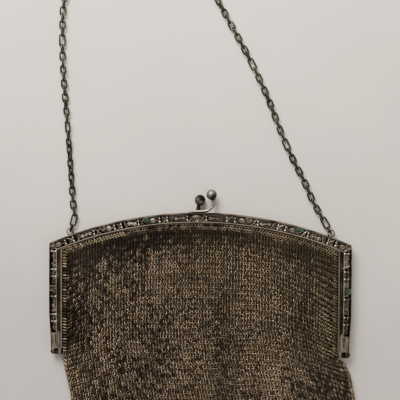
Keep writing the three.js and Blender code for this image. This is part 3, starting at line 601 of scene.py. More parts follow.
def worn_metal(name, tops, hollows, polish, rise=None, green=True, patch=160.0):
    """A metal with bright tops and dark hollows, partly patina and partly painted light and shade; without a
    rise of its own it reads each point's height mark.
    """
    material, graph, shader = new_material(name, tops)
    settings = bpy.context.scene.purse_frame
    group = graph.add("ShaderNodeGroup", node_tree=shared_group("Worn plate", patina_group))
    graph.feed(group, {
        "Tops": colour(tops), "Hollows": colour(hollows), "Bloom": colour(settings.verdigris),
        "Rise": graph.read("rise") if rise is None else rise,
        "Green": graph.read("green") if green else 0.0,
        "Polish": polish, "Patch Scale": patch, "Grain Scale": PLATE_GRAIN,
    })
    wire_up(graph, shader, group, 0.95)
    return material


def ring_metal(settings):
    """The rings' metal; each ring's tone is kept on its points."""
    material, graph, shader = new_material("ring metal", settings.light)
    group = graph.add("ShaderNodeGroup", node_tree=shared_group("Ring tones", ring_group))
    graph.feed(group, {
        "Dark": colour(settings.dark), "Light": colour(settings.light), "Warm": colour(settings.warm),
        "Tone": graph.read("tone"), "Polish": 0.40, "Patch Scale": 38.0,
    })
    wire_up(graph, shader, group, 0.9)
    return material


# Frame

def arch_y(x, inset):
    return ARCH_CENTRE_Y + np.sqrt((ARCH_RADIUS - inset) ** 2 - np.square(x))


def frame_line(top_inset, arm_inset):
    """From the left arm's end, up, over the arch and down to the right arm's end."""
    side = HALF_WIDTH - arm_inset
    radius = ARCH_RADIUS - top_inset
    angles = np.linspace(-1, 1, ARCH_STEPS + 1) * math.asin(side / radius)
    arch = np.column_stack([radius * np.sin(angles), ARCH_CENTRE_Y + radius * np.cos(angles)])
    down = np.linspace(0, 1, ARM_STEPS + 1)[1:, None]
    right = arch[-1] + (np.array([side, ARM_END_Y]) - arch[-1]) * down
    left = (arch[0] + (np.array([-side, ARM_END_Y]) - arch[0]) * down)[::-1]
    return np.vstack([left, arch, right])


def turned_over(half):
    """Places a form on the front half, or mirrored on the back half, with the arms' outside drawn in."""
    def where(p):
        drawn_in = ARM_TAPER * smooth((TAPER_START_Y - p[:, 1]) / TAPER_LENGTH)
        outside = np.clip((np.abs(p[:, 0]) - (HALF_WIDTH - ARM_BAND)) / ARM_BAND, 0, 1)
        x = p[:, 0] - np.sign(p[:, 0]) * drawn_in * outside
        z = p[:, 2] if half > 0 else FACE_Z - np.minimum(p[:, 2], FACE_Z)
        return np.column_stack([x, p[:, 1], z])
    return where


def on_arch(side, half):
    """Places a form along the arch: distance from the middle, height across the band, z."""
    middle = ARCH_RADIUS - PATTERN_INSET
    turn_over = turned_over(half)

    def where(p):
        angle = p[:, 0] / middle
        radius = middle + p[:, 1]
        x, y = side * radius * np.sin(angle), ARCH_CENTRE_Y + radius * np.cos(angle)
        return turn_over(np.column_stack([x, y, p[:, 2]]))
    return where


def on_arm(side, half):
    """Places a form down an arm: distance below the corner, distance towards the outside, z."""
    middle = HALF_WIDTH - ARM_PATTERN_INSET
    turn_over = turned_over(half)

    def where(p):
        return turn_over(np.column_stack([side * (middle + p[:, 1]), CORNER_Y - p[:, 0], p[:, 2]]))
    return where


def verdigris(points):
    """Green bloom round the stones and on the right arm's inner strip."""
    amount = np.zeros(len(points))
    for node in STONES:
        low, high = box_mm(node)
        away = np.linalg.norm((points - (low + high) / 2)[:, :2], axis=1)
        amount += 0.55 * np.exp(-(away / 2.6) ** 2)
    strip = np.exp(-((points[:, 0] - HALF_WIDTH + STRIP_INSET) / 0.9) ** 2)
    amount += 0.4 * strip * np.exp(-((points[:, 1] + 44) / 12) ** 2)
    return np.clip(amount, 0, 0.85)


def add_band(work, profile, half, finish=PLATE, rise=None):
    """Sweeps a profile along the whole frame."""
    rows = []
    for top_inset, arm_inset, z in profile:
        line = frame_line(top_inset, arm_inset)
        rows.append(np.column_stack([line, np.full(len(line), z)]))
    points = np.stack(rows, axis=1)
    faces = ring_faces(points.shape[0], points.shape[1])
    work.add((points.reshape(-1, 3), faces), turned_over(half), finish, rise)


def add_bar(work, where, path, radius=0.27):
    """A short bar of the openwork: points of (along, across)."""
    path = np.array([(u, v, SHEET_Z - 0.1) for u, v in path])
    work.add(tube(path, radius, 6, flat=1.3), where)


def add_bead(work, where, u, v, radius=0.62, shine=1.0):
    form = turned(ball_profile(radius, 6), 8, (u, v, SHEET_Z + 0.18))
    work.add(form, where, PLATE, shine * height_mark(form[0][:, 2]))


def add_pair(work, where, u):
    add_bar(work, where, [(u, -1.5), (u, 0), (u, 1.75)], 0.34)
    # The upper bead is painted dimmer than the lower one: painted light and shade
    add_bead(work, where, u, 0.85, 0.56, 0.65)
    add_bead(work, where, u, -0.75)


def add_cross(work, where, start, end):
    middle = (start + end) / 2
    for flip in (-1, 1):
        bend = [(start, -1.45 * flip), ((start + middle) / 2, -0.9 * flip), (middle, 0.1),
                ((end + middle) / 2, 1.0 * flip), (end, 1.6 * flip)]
        add_bar(work, where, bend, 0.25)


def add_leaf(work, where, start, end, width, tilt, lift):
    """A pointed leaf with a raised middle rib."""
    low, edge = SHEET_Z - 0.55, SHEET_Z - 0.05
    rows = []
    for share in np.linspace(-1, 1, 9):
        breadth = width / 2 * max(1 - share ** 2, 0.02) ** 0.8
        crown = SHEET_Z + lift * max(1 - share ** 2, 0.05) ** 0.5
        side = [(1, low), (1, edge), (0.5, crown - 0.12), (0.12, crown - 0.2)]
        section = [(-v, z) for v, z in side] + [(0, crown + 0.08)] + side[::-1]
        rows.append([((end - start) / 2 * share, breadth * v, z) for v, z in section])
    points = np.array(rows)
    c, s = math.cos(tilt), math.sin(tilt)
    along = points[..., 0] * c - points[..., 1] * s + (start + end) / 2
    over = points[..., 0] * s + points[..., 1] * c + 0.1
    points = np.stack([along, over, points[..., 2]], -1)
    work.add((points.reshape(-1, 3), ring_faces(len(rows), points.shape[1])), where)


def add_scroll(work, where, start, end, flip):
    """An S scroll with curled ends and a leaf in its middle."""
    length = end - start
    curl = np.linspace(1.75 * math.pi, 0.0, 14)
    radius = 0.25 + 0.75 * (1 - curl / curl[0])
    first = np.column_stack([start + 1.15 - radius * np.cos(curl), flip * (-0.45 + radius * np.sin(curl))])
    second = np.array([start + end, 0.2]) - first[::-1]
    path = np.vstack([first, second])
    radii = 0.24 + 0.08 * np.sin(math.pi * np.linspace(0, 1, len(path)))
    points = np.column_stack([path, np.full(len(path), SHEET_Z - 0.1)])
    work.add(tube(points, radii, 6, flat=1.4), where)
    add_leaf(work, where, start + length * 0.3, start + length * 0.7, 1.3, flip * 0.5, 0.2)


def add_cell(work, where, start, length, flip):
    """One repeat of the openwork, from one setting to the next."""
    def at(u):
        return start + u * length / CUP_SPREAD
    add_cross(work, where, at(1.5), at(3.9))
    add_pair(work, where, at(4.7))
    add_scroll(work, where, at(5.5), at(11.3), flip)
    add_bar(work, where, [(at(11.3), -1.5 * flip), (at(11.8), -0.8 * flip), (at(12.2), 0.6 * flip),
                          (at(12.8), 1.6 * flip)], 0.27)
    add_pair(work, where, at(14.7))
    for side in (-1, 1):
        add_bar(work, where, [(at(15.2), 0.1), (at(16.0), 0.7 * side), (at(17.6), 1.6 * side)], 0.24)
    add_pair(work, where, at(18.6))
    add_bar(work, where, [(at(18.9), 1.4 * flip), (at(19.6), 0.2), (at(20.6), 0.0)], 0.25)
    add_leaf(work, where, at(20.4), at(23.7), 2.4, 0.0, 0.3)


def add_cup(work, place, half):
    """A ring setting with a floor."""
    inner = CUP_RADIUS - CUP_WALL
    top, foot = FACE_Z + CUP_HEIGHT, SHEET_Z - 0.8
    profile = [
        (0, foot), (CUP_RADIUS - 0.1, foot), (CUP_RADIUS, SHEET_Z), (CUP_RADIUS - 0.06, top - 0.3),
        (CUP_RADIUS - 0.16, top - 0.04), (inner + 0.1, top - 0.02), (inner, top - 0.2),
        (inner - 0.05, top - 0.9), (inner * 0.6, top - 1.0), (0, top - 1.0),
    ]
    form = turned(profile, 16, (*place, 0))
    work.add(form, turned_over(half), PLATE, np.clip((form[0][:, 2] - top + CUP_HEIGHT) / CUP_HEIGHT, 0, 1))


def cup_places():
    """The eight settings, as in the CAD source."""
    radius = ARCH_RADIUS - CUP_INSET
    places = []
    for step in CUP_STEPS:
        angle = step * CUP_SPREAD / radius
        places.append((radius * math.sin(angle), ARCH_CENTRE_Y + radius * math.cos(angle)))
    for side in (-1, 1):
        places.append((side * (HALF_WIDTH - RIM_WIDTH - CUP_RADIUS / 2), CORNER_Y - CUP_RADIUS / 2))
        places.append((side * (HALF_WIDTH - CUP_INSET), CORNER_Y - ARM_CUP_DROP))
    return places


def add_end_plate(work, side, half):
    """The plain plate at an arm's end, with its slot and a raised band."""
    where = on_arm(side, half)
    end = CORNER_Y - ARM_END_Y
    start = end - END_PLATE
    inner, outer = -2.9, 2.2
    slot_low, slot_high = -0.95, -0.15
    slot_start, slot_end = start + 0.6, start + 5.3
    low, top = SHEET_Z - 0.9, SHEET_Z + 0.05
    lap = 0.1
    parts = [
        ((start, inner), (slot_start, outer)),
        ((slot_end, inner), (end, outer)),
        ((slot_start - lap, inner), (slot_end + lap, slot_low)),
        ((slot_start - lap, slot_high), (slot_end + lap, outer)),
    ]
    for (u0, v0), (u1, v1) in parts:
        work.add(block((u0, v0, low), (u1, v1, top), 0.08), where, PLATE, 0.45)
    ridge = np.linspace((start - 1.0, -1.95, top - 0.1), (end - 0.3, -1.95, top - 0.1), 7)
    work.add(tube(ridge, 0.5, 8), where, PLATE, 0.7)


def add_knuckles(work, ranges, half):
    """Hinge knuckles and their straps; each range runs outwards from the middle of the frame."""
    bevel = 0.15
    shoulder = KNUCKLE_RADIUS - bevel
    for side in (-1, 1):
        for near, far in ranges:
            low, high = sorted((side * near, side * far))
            profile = [(shoulder, low), (KNUCKLE_RADIUS, low + bevel),
                       (KNUCKLE_RADIUS, high - bevel), (shoulder, high)]
            work.add(turned(profile, 24, (0, HINGE_Y, MIDDLE_Z), along=0), None, PLATE, 0.1)
            strap = block((low, HINGE_Y - 0.9, HALF_JOINT_Z), (high, ARM_END_Y + 0.3, SHEET_Z), bevel)
            work.add(strap, turned_over(half), PLATE, 0.15)


def arch_cells(side):
    """Where the openwork's cells start over one half of the arch, and how long they are."""
    middle = ARCH_RADIUS - PATTERN_INSET
    corner = middle * math.asin((HALF_WIDTH - RIM_WIDTH - CUP_RADIUS / 2) / middle)
    settings = [side * step * CUP_SPREAD * middle / (ARCH_RADIUS - CUP_INSET) for step in CUP_STEPS]
    stops = np.array([side * PATTERN_MIDDLE, *sorted(u for u in settings if u > 0), corner])
    return zip(stops, np.diff(stops))


def add_centre_motif(work, half):
    """The arched motif with a small ring at the middle of the band."""
    where = on_arch(1, half)
    outer = [(0.0, 1.3), (1.2, 1.1), (2.3, 0.3), (3.3, -0.9), (4.0, -1.5)]
    inner = [(1.5, -1.4), (2.2, -0.6), (3.0, 0.4), (3.9, 1.5)]
    for side in (-1, 1):
        for path, radius in ((outer, 0.34), (inner, 0.28)):
            add_bar(work, where, [(PATTERN_MIDDLE + side * u, v) for u, v in path], radius)
    turn, reach, low = circle(16), 1.15, -0.15
    ring = np.column_stack([PATTERN_MIDDLE + reach * np.cos(turn), low + reach * np.sin(turn),
                            np.full(len(turn), SHEET_Z + 0.05)])
    work.add(tube(ring, 0.3, 6, closed=True, flat=1.3), where)
    add_bead(work, where, PATTERN_MIDDLE, low, 0.5, 0.6)


def add_openwork(work, half):
    """The pierced pattern over the arch and down the arms."""
    for side in (-1, 1):
        for cell, (start, length) in enumerate(arch_cells(side)):
            add_cell(work, on_arch(side, half), start, length, 1 if cell % 2 else -1)
        for cell in range(2):
            add_cell(work, on_arm(side, half), cell * ARM_CUP_DROP, ARM_CUP_DROP, 1 if cell % 2 else -1)
        add_end_plate(work, side, half)
    add_centre_motif(work, half)


def frame_darkening(points):
    """How far the frame's height marks are lowered, which darkens all but its tops: most on the arms and at
    the middle of the arch.
    """
    arms = smooth((CORNER_Y - 1 - points[:, 1]) / 7)
    middle = 0.5 * smooth((32 - np.abs(points[:, 0])) / 14) * (points[:, 1] > CORNER_Y)
    return np.maximum(arms, middle)


def add_half(work, half):
    """Rims, groove, openwork and rail of one half, with the arms and the arch's middle darkened through their
    height marks.
    """
    for profile, finish, rise in BANDS:
        add_band(work, profile, half, finish, rise)
    add_openwork(work, half)
    work.rises = [rise ** (1 + 1.1 * frame_darkening(points)) for rise, points in zip(work.rises, work.points)]
    add_band(work, MESH_RAIL, half, RAIL)
    work.rises[-1] = np.where(work.points[-1][:, 1] < CORNER_Y - 1, 0.8, 0.1)


def streaks(x, y, marks):
    """Sum of soft straight streaks, such as folds and places of wear and painted fold light and shade."""
    total = np.zeros_like(x)
    for streak in marks:
        start = np.array([streak.from_across * BAG_HALF_MOUTH, BAG_TOP_Y - streak.from_down * BAG_DEPTH])
        end = np.array([streak.to_across * BAG_HALF_MOUTH, BAG_TOP_Y - streak.to_down * BAG_DEPTH])
        along = end - start
        length = np.hypot(*along)
        dx, dy = x - start[0], y - start[1]
        travel = (dx * along[0] + dy * along[1]) / length ** 2
        across = np.abs(dx * along[1] - dy * along[0]) / length
        fade = smooth((travel + 0.15) / 0.25) * smooth((1.1 - travel) / 0.35)
        total += streak.amount * fade * np.exp(-(across / (streak.width * BAG_HALF_MOUTH)) ** 2)
    return total


def eyelet_places():
    """Middle of each eyelet and the direction in which the chain leaves it."""
    places = []
    for node, end in (("chain_ring_left", CHAIN_ROUTE[0]), ("chain_ring_right", CHAIN_ROUTE[-1])):
        low, high = box_mm(node)
        middle = (low + high) / 2
        reach = (high[2] - low[2]) / 2 - RING_WIRE
        heading = np.array([end[0], end[1], middle[2]]) - middle
        heading[2] = 0
        heading = unit(heading)
        places.append((middle - heading * reach, heading))
    return places


def add_eyelets(work):
    """The two flat eyelets that carry the chain, each on a short lug."""
    radius, wire = (EYELET_RADIUS + EYELET_HOLE) / 2, (EYELET_RADIUS - EYELET_HOLE) / 2
    turn = circle(20)
    for middle, _ in eyelet_places():
        loop = middle + np.column_stack([radius * np.cos(turn), radius * np.sin(turn), np.zeros(len(turn))])
        work.add(tube(loop, wire, 8, closed=True, flat=1.5), None, PLATE, 0.1)
        inward = unit(np.array([0, ARCH_CENTRE_Y, middle[2]]) - middle)
        lug = [middle + inward * reach for reach in (1.2, 1.8, 2.4)]
        work.add(tube(lug, [0.75, 0.85, 0.95], 8), None, PLATE, 0.2)


# Mesh bag

def arch_top(x):
    return arch_y(x, TOP_BAND + SEAT_GAP)


def bag_edges(y):
    """Left and right edges at a height, without and with the rounded bottom corners."""
    down = (SIDE_TOP_Y - y) / (SIDE_TOP_Y - BAG_BOTTOM_Y)
    left = -BAG_HALF_MOUTH * np.where(y > SIDE_TOP_Y, 1, np.interp(down, SIDE_DOWN, SIDE_LEFT))
    right = BAG_HALF_MOUTH * np.where(y > SIDE_TOP_Y, 1, np.interp(down, SIDE_DOWN, SIDE_RIGHT))
    into = np.clip((BAG_BOTTOM_Y + BAG_CORNER - y) / BAG_CORNER, 0, 1)
    inset = BAG_CORNER * (1 - np.sqrt(1 - into ** 2))
    return left, right, inset


def bag_heights(x, y):
    """Heights of the back and the front, as in the CAD source."""
    left, right, inset = bag_edges(y)
    middle, half = (left + right) / 2, (right - left) / 2 - inset
    share = np.clip(np.abs(x - middle) / np.maximum(half, 1), 0, 1)
    from_arms = smooth((BAG_TOP_Y - ARCH_RISE - y) / (CORNER_Y - HINGE_Y))
    to_bottom = smooth((y - BAG_BOTTOM_Y) / BAG_CORNER)
    to_side = 1 - share ** 6
    rim = MOUTH_THICKNESS + (HEM_THICKNESS - MOUTH_THICKNESS) * from_arms
    from_mouth = smooth((BAG_TOP_Y - y) / (CORNER_Y - HINGE_Y))
    full = MOUTH_THICKNESS + (BAG_THICKNESS - MOUTH_THICKNESS) * from_mouth
    height = rim + (full - rim) * to_side * (BOTTOM_FULLNESS + (1 - BOTTOM_FULLNESS) * to_bottom)
    at_bottom = 1 - smooth((y - BAG_BOTTOM_Y) / HEM_THICKNESS)
    hem = HEM_ROUNDING * np.maximum(share ** 12 * from_arms, at_bottom)
    lift = FOLD_HEIGHT * streaks(x, y, FOLDS) * to_side * smooth((arch_top(x) - y) / FOLD_EASE)
    return hem, height + lift - hem


def mesh_place(share, level, upper, deeper):
    """Point of the mesh's middle surface: share from -1 to 1 across, level down the bag."""
    follow = 1 - smooth((BAG_TOP_Y - level) / (BAG_TOP_Y - SIDE_TOP_Y))
    drop = ROW_DROP * smooth((BAG_TOP_Y - level) / DROP_IN) * smooth((level - BAG_BOTTOM_Y) / DROP_OUT)
    y = level - drop * np.clip((np.abs(share) - 0.5) / 0.5, 0, 1) ** 1.3
    at_edge = np.abs(share) ** 6
    around = [bag_edges(np.maximum(y + away, BAG_BOTTOM_Y)) for away in COLUMN_EASING]
    eased = [sum(edges[i] for edges in around) / len(around) for i in range(2)]
    left, right = (soft + (edge - soft) * at_edge for soft, edge in zip(eased, bag_edges(y)))
    x = (left + right) / 2 + (right - left) / 2 * share
    y = y + (arch_top(np.clip(x, -HALF_WIDTH, HALF_WIDTH)) - BAG_TOP_Y) * follow
    back, front = bag_heights(x, y)
    z = front - RING_SINK - deeper if upper else back + BACK_SINK
    return np.stack([x, y, z], -1)


def ring_template(radius_across, radius_down, wire, around, sides):
    """Points and faces of one ring that lies flat."""
    turn = np.arange(around) * 2 * math.pi / around
    path = np.column_stack([radius_across * np.cos(turn), radius_down * np.sin(turn), np.zeros(around)])
    points, faces = tube(path, wire, sides, closed=True)
    return points, np.array(facing_out(points, faces))


def spread_rings(template, centres, across, down, normal, lean, spin=0.0):
    """Copies a ring to many places; each spins in its plane and leans about its own downward direction."""
    points, faces = template
    spin = np.broadcast_to(np.asarray(spin, float), lean.shape)[:, None]
    across, down = across * np.cos(spin) + down * np.sin(spin), down * np.cos(spin) - across * np.sin(spin)
    c, s = np.cos(lean)[:, None], np.sin(lean)[:, None]
    x, y, z = points.T
    tx = x * c + z * s
    tz = z * c - x * s
    placed = (centres[:, None] + across[:, None] * tx[..., None] + down[:, None] * y[None, :, None]
              + normal[:, None] * tz[..., None])
    offsets = (np.arange(len(centres)) * len(points))[:, None, None]
    return placed.reshape(-1, 3), (faces[None] + offsets).reshape(-1, faces.shape[1])


def ring_piece(name, points, faces, tones, metal):
    """Makes a piece of many small rings."""
    mesh = bpy.data.meshes.new(name)
    mesh.vertices.add(len(points))
    mesh.vertices.foreach_set("co", (points * MM).astype(np.float32).ravel())
    mesh.loops.add(faces.size)
    mesh.loops.foreach_set("vertex_index", faces.astype(np.int32).ravel())
    mesh.polygons.add(len(faces))
    mesh.polygons.foreach_set("loop_start", np.arange(0, faces.size, faces.shape[1], dtype=np.int32))
    mesh.update(calc_edges=True)
    mesh.shade_smooth()
    mark(mesh, "tone", np.repeat(tones, len(points) // len(tones)))
    settle(name, mesh, [metal], ())


def sheet_rings(upper, draws):
    """Places, directions, leans, spins and tones of all the rings of one side of the bag."""
    settings = bpy.context.scene.purse_mesh
    coarser = 1.0 if upper else settings.back_pitch
    pitch, row_pitch = settings.ring_pitch * coarser, settings.row_pitch * coarser
    columns = round(2 * BAG_HALF_MOUTH / pitch)
    rows = int((BAG_DEPTH - FIRST_ROW - LAST_ROW) / row_pitch)
    column, row = (grid.ravel() for grid in np.meshgrid(np.arange(columns), np.arange(rows)))
    count, odd = len(row), row % 2
    astray = draws.normal(0, RING_JITTER, count) / BAG_HALF_MOUTH
    share = (column + 0.25 + 0.5 * odd) / columns * 2 - 1 + astray
    level = BAG_TOP_Y - FIRST_ROW - row * row_pitch + draws.normal(0, RING_JITTER, count)
    aside = np.abs(share)
    above_end = level - SIDE_TOP_Y
    near_arms = smooth((aside - DEEP_FROM) / DEEP_RUN) * smooth((above_end + DEEP_BELOW) / DEEP_FADE) * odd
    deeper = DEEP_SINK * near_arms

    def place(share, level):
        return mesh_place(share, level, upper, deeper)
    centre = place(share, level)
    step = 0.25
    across = unit(place(share + step / BAG_HALF_MOUTH, level) - place(share - step / BAG_HALF_MOUTH, level))
    down = unit(place(share, level - step) - place(share, level + step))
    normal = unit(np.cross(down, across)) * (1 if upper else -1)
    x, y = centre[:, 0], centre[:, 1]
    left, right, inset = bag_edges(y)
    margin = inset + EDGE_MARGIN
    keep = (x > left + margin) & (x < right - margin) & (y > BAG_BOTTOM_Y + LAST_ROW)
    lean = np.where(odd == 0, 1, -1) * math.radians(settings.lean) + draws.normal(0, LEAN_SPREAD, count)
    by_arms = smooth((aside - SPIN_FROM) / SPIN_RUN) * smooth((above_end + SPIN_BELOW) / SPIN_FADE)
    by_arms = by_arms * smooth((BAG_TOP_Y - level) / SPIN_GROWTH)
    spin = draws.normal(0, SPIN_SPREAD, count) - np.sign(share) * ARM_SPIN * by_arms
    tone = draws.normal(0.5, TONE_SPREAD, count)
    if upper:
        # Painted shade under the arch and on the deeper rows beside the arms; wear, patina and painted fold
        # light and shade along the streaks
        painted_arch_shade = 1 - smooth((arch_top(x) - y - 3) / 15)
        tone = tone + streaks(x, y, WEAR_AND_SHADE) - ARCH_SHADE * painted_arch_shade - ARM_SHADE * near_arms
    tone = np.clip(tone, 0, 1)
    return [values[keep] for values in (centre, across, down, normal, lean, spin)], tone[keep]


def build_sheet(label, upper, sides, around, metal, seed):
    """The rings of one side of the bag, in three pieces from left to right."""
    settings = bpy.context.scene.purse_mesh
    places, tone = sheet_rings(upper, np.random.default_rng(seed))
    long_radius = settings.ring_radius * 1.12
    template = ring_template(settings.ring_radius, long_radius, settings.ring_wire, around, sides)
    cuts = np.quantile(places[0][:, 0], [1 / 3, 2 / 3])
    third = np.searchsorted(cuts, places[0][:, 0])
    for number, part in enumerate(("left", "middle", "right")):
        pick = third == number
        points, faces = spread_rings(template, *(values[pick] for values in places))
        ring_piece(f"mesh_{label}_{part}", points, faces, tone[pick], metal)


# Settings

def tint(name, text, default):
    return FloatVectorProperty(
        name=name, description=text, default=default, size=3, min=0, max=1, subtype="COLOR")


def number(name, text, default, low, high):
    return FloatProperty(name=name, description=text, default=default, min=low, max=high)


class PurseFrameSettings(bpy.types.PropertyGroup):
    """Finish of the frame, clasp, chain and stones."""
    tops: tint("Tops", "Worn silver plate on raised places", (0.63, 0.53, 0.42))
    hollows: tint("Hollows", "Tarnish in the hollows", (0.040, 0.027, 0.018))
    # The hollows' colour: partly patina, partly painted shade in the hollows
    rail: tint("Rail", "Strip that carries the mesh", (0.215, 0.18, 0.14))
    rail_hollows: tint("Rail hollows", "Tarnish on the rail", (0.050, 0.032, 0.021))
    verdigris: tint("Verdigris", "Green bloom near the stones", (0.06, 0.16, 0.09))
    gunmetal: tint("Gunmetal", "Chain and pins", (0.085, 0.074, 0.060))
    gunmetal_dark: tint("Gunmetal hollows", "Tarnish on the chain", (0.014, 0.011, 0.008))
    satin: tint("Satin", "Front ball and lever", (0.30, 0.28, 0.25))
    satin_dark: tint("Satin, dark", "Back ball and post", (0.15, 0.138, 0.12))
    glass: tint("Stones", "Green glass", (0.010, 0.12, 0.06))


class PurseMeshSettings(bpy.types.PropertyGroup):
    """Sizes and tones of the ring mesh, in millimetres and degrees."""
    ring_pitch: number("Ring pitch", "Across a row, in mm", 1.45, 1.2, 3)
    row_pitch: number("Row pitch", "From row to row, in mm", 1.25, 0.9, 2.5)
    ring_radius: number("Ring radius", "Middle of the wire, in mm", 0.85, 0.5, 1.5)
    ring_wire: number("Wire radius", "In mm", 0.21, 0.1, 0.4)
    lean: number("Lean", "Lean of each row, in degrees", 50, 0, 75)
    dark: tint("Dark rings", "Darkest tone of the rings", (0.036, 0.024, 0.014))
    light: tint("Light rings", "Lightest tone of the rings", (0.60, 0.46, 0.315))
    warm: tint("Warm rings", "Tone of the warmer patches", (0.20, 0.155, 0.085))
    ground: tint("Ground", "Shade inside the mesh", (0.010, 0.007, 0.005))
    back_pitch: number("Back pitch", "Times the front's pitches", 1.17, 1, 2)


class PurseChainSettings(bpy.types.PropertyGroup):
    """Sizes of the chain, in millimetres."""
    wire: number("Wire", "Diameter in mm", 1.05, 0.4, 1.5)
    short_link: number("Short link", "Outer length in mm", 5.65, 3, 8)
    short_width: number("Short link width", "In mm", 3.6, 2, 5)
    long_link: number("Long link", "Outer length in mm", 7.35, 4, 12)
    long_width: number("Long link width", "In mm", 3.6, 2, 5)
    between: IntProperty(
        name="Short links between", description="Between two long ones", default=11, min=1, max=30)


class PurseStageSettings(bpy.types.PropertyGroup):
    """Floor and light."""
    floor: tint("Floor", "Pale floor, near the chain", (0.88, 0.85, 0.725))
    light: number("Light", "Power of the key light in watts", 6.2, 0, 100)
    sky: number("Sky", "Strength of the even light", 0.5, 0, 5)
    # The floor's painted shade towards the bag's bottom
    floor_low: tint("Floor, low", "Pale floor, near the bag's bottom", (0.55, 0.495, 0.455))


# Operators

class PURSE_OT_stage(bpy.types.Operator):
    """Adds the floor, the lights and the camera."""
    bl_idname = "purse.stage"
    bl_label = "Stage"

    def execute(self, context):
        settings = context.scene.purse_stage
        camera = bpy.data.objects.new("camera", bpy.data.cameras.new("camera"))
        camera.data.sensor_width = SENSOR_WIDTH
        camera.data.lens = CAMERA_LENS
        camera.location = CAMERA_PLACE
        camera.rotation_euler = [math.radians(angle) for angle in CAMERA_TURN]
        context.scene.collection.objects.link(camera)
        context.scene.camera = camera
        self.floor(settings)

        world = bpy.data.worlds.new("studio")
        context.scene.world = world
        world.use_nodes = True
        background = world.node_tree.nodes["Background"]
        background.inputs["Color"].default_value = SKY_COLOUR
        background.inputs["Strength"].default_value = settings.sky
        for name, place, size, share, tone in LAMPS:
            lamp = bpy.data.lights.new(name, "AREA")
            lamp.size = size
            lamp.energy = settings.light * share
            lamp.color = tone
            lamp_object = bpy.data.objects.new(name, lamp)
            lamp_object.location = place
            lamp_object.rotation_euler = Vector([-v for v in place]).to_track_quat("-Z", "Y").to_euler()
            context.scene.collection.objects.link(lamp_object)
        return {"FINISHED"}

    def floor(self, settings):
        """A large pale floor, with cloudy mottling, painted darker towards the bag's bottom as shade of the
        light's falloff.
        """
        mesh = bpy.data.meshes.new("floor")
        corners = [(-1, -1), (1, -1), (1, 1), (-1, 1)]
        points = [(x * FLOOR_REACH, y * FLOOR_REACH, FLOOR_Z) for x, y in corners]
        mesh.from_pydata(points, [], [(0, 1, 2, 3)])
        floor = bpy.data.objects.new("floor", mesh)
        bpy.context.scene.collection.objects.link(floor)
        material, graph, shader = new_material("pale floor", settings.floor)
        place = graph.add("ShaderNodeTexCoord").outputs["Object"]
        height = graph.add("ShaderNodeSeparateXYZ", {0: place}).outputs["Y"]
        cloudy = graph.ramp(graph.noise(14.0, 3.0), 0.3, 0.7, -0.12, 0.12)
        # Painted shade: darker towards the bag's bottom, with cloudy mottling
        share = graph.math("ADD", graph.ramp(height, -0.06, 0.13), cloudy, clamp=True)
        mottled_and_shaded = graph.mix(share, colour(settings.floor_low), colour(settings.floor))
        graph.feed(shader, {"Base Color": mottled_and_shaded, "Roughness": 0.85})
        mesh.materials.append(material)


class PURSE_OT_frame(bpy.types.Operator):
    """Builds both halves of the pierced frame."""
    bl_idname = "purse.frame"
    bl_label = "Frame"

    def execute(self, context):
        settings = context.scene.purse_frame
        materials = [
            worn_metal("worn silver plate", settings.tops, settings.hollows, 0.26),
            worn_metal("coppery rail", settings.rail, settings.rail_hollows, 0.34),
            worn_metal("dark groove", settings.rail_hollows, settings.hollows, 0.5, rise=0.1),
        ]
        step = ARM_BAND / 3
        outer = [(HALF_WIDTH - step + SEAT_GAP / 2, HALF_WIDTH - ARM_TAPER),
                 (HALF_WIDTH - ARM_BAND, HALF_WIDTH - 2 * step - SEAT_GAP / 2)]
        inner = [(HALF_WIDTH - 2 * step + SEAT_GAP / 2, HALF_WIDTH - step - SEAT_GAP / 2)]
        for name, half, knuckles in (("frame_front", 1, outer), ("frame_back", -1, inner)):
            work = Metalwork()
            add_half(work, half)
            if half > 0:
                for place in cup_places():
                    add_cup(work, place, half)
            add_knuckles(work, knuckles, half)
            if half < 0:
                add_eyelets(work)
            metal_piece(f"{name}_metal", work, materials, [name])
        return {"FINISHED"}


class PURSE_OT_hinges(bpy.types.Operator):
    """Builds the two hinge pins."""
    bl_idname = "purse.hinges"
    bl_label = "Hinge pins"

    def execute(self, context):
        settings = context.scene.purse_frame
        metal = worn_metal("pin metal", settings.gunmetal, settings.gunmetal_dark, 0.3, rise=0.6)
        for side, name in ((-1, "left"), (1, "right")):
            low, high = box_mm(f"hinge_pin_{name}")
            head = (high[1] - low[1]) / 2
            tip, inside = (high[0], low[0]) if side > 0 else (low[0], high[0])
            tip -= side * ARM_TAPER
            profile = [
                (0, inside), (0.5, inside), (0.6, inside + side * 0.15), (0.6, tip - side * 0.5),
                (head, tip - side * 0.5), (head, tip - side * 0.25), (head * 0.8, tip - side * 0.08),
                (0, tip),
            ]
            work = Metalwork()
            work.add(turned(profile, 20, (0, HINGE_Y, MIDDLE_Z), along=0), None, PLATE, 0.6)
            metal_piece(f"pin_{name}_metal", work, [metal], [f"hinge_pin_{name}"])
        return {"FINISHED"}


def soft_path(points, steps):
    """A smooth path through points: evenly stepped for a count of steps, or at the given distances."""
    points = np.asarray(points, float)
    padded = np.vstack([2 * points[0] - points[1], points, 2 * points[-1] - points[-2]])
    t = np.linspace(0, 1, 24, endpoint=False)[:, None]
    fine = []
    for i in range(1, len(padded) - 2):
        a, b, c, d = padded[i - 1:i + 3]
        square, cube = 2 * a - 5 * b + 4 * c - d, 3 * b - a - 3 * c + d
        fine.append(0.5 * (2 * b + (c - a) * t + square * t ** 2 + cube * t ** 3))
    fine = np.vstack(fine + [points[-1:]])
    lengths = np.concatenate([[0], np.cumsum(np.linalg.norm(np.diff(fine, axis=0), axis=1))])
    at = np.linspace(0, lengths[-1], steps) if np.isscalar(steps) else np.asarray(steps)
    return np.column_stack([np.interp(at, lengths, fine[:, i]) for i in range(3)]), lengths[-1]


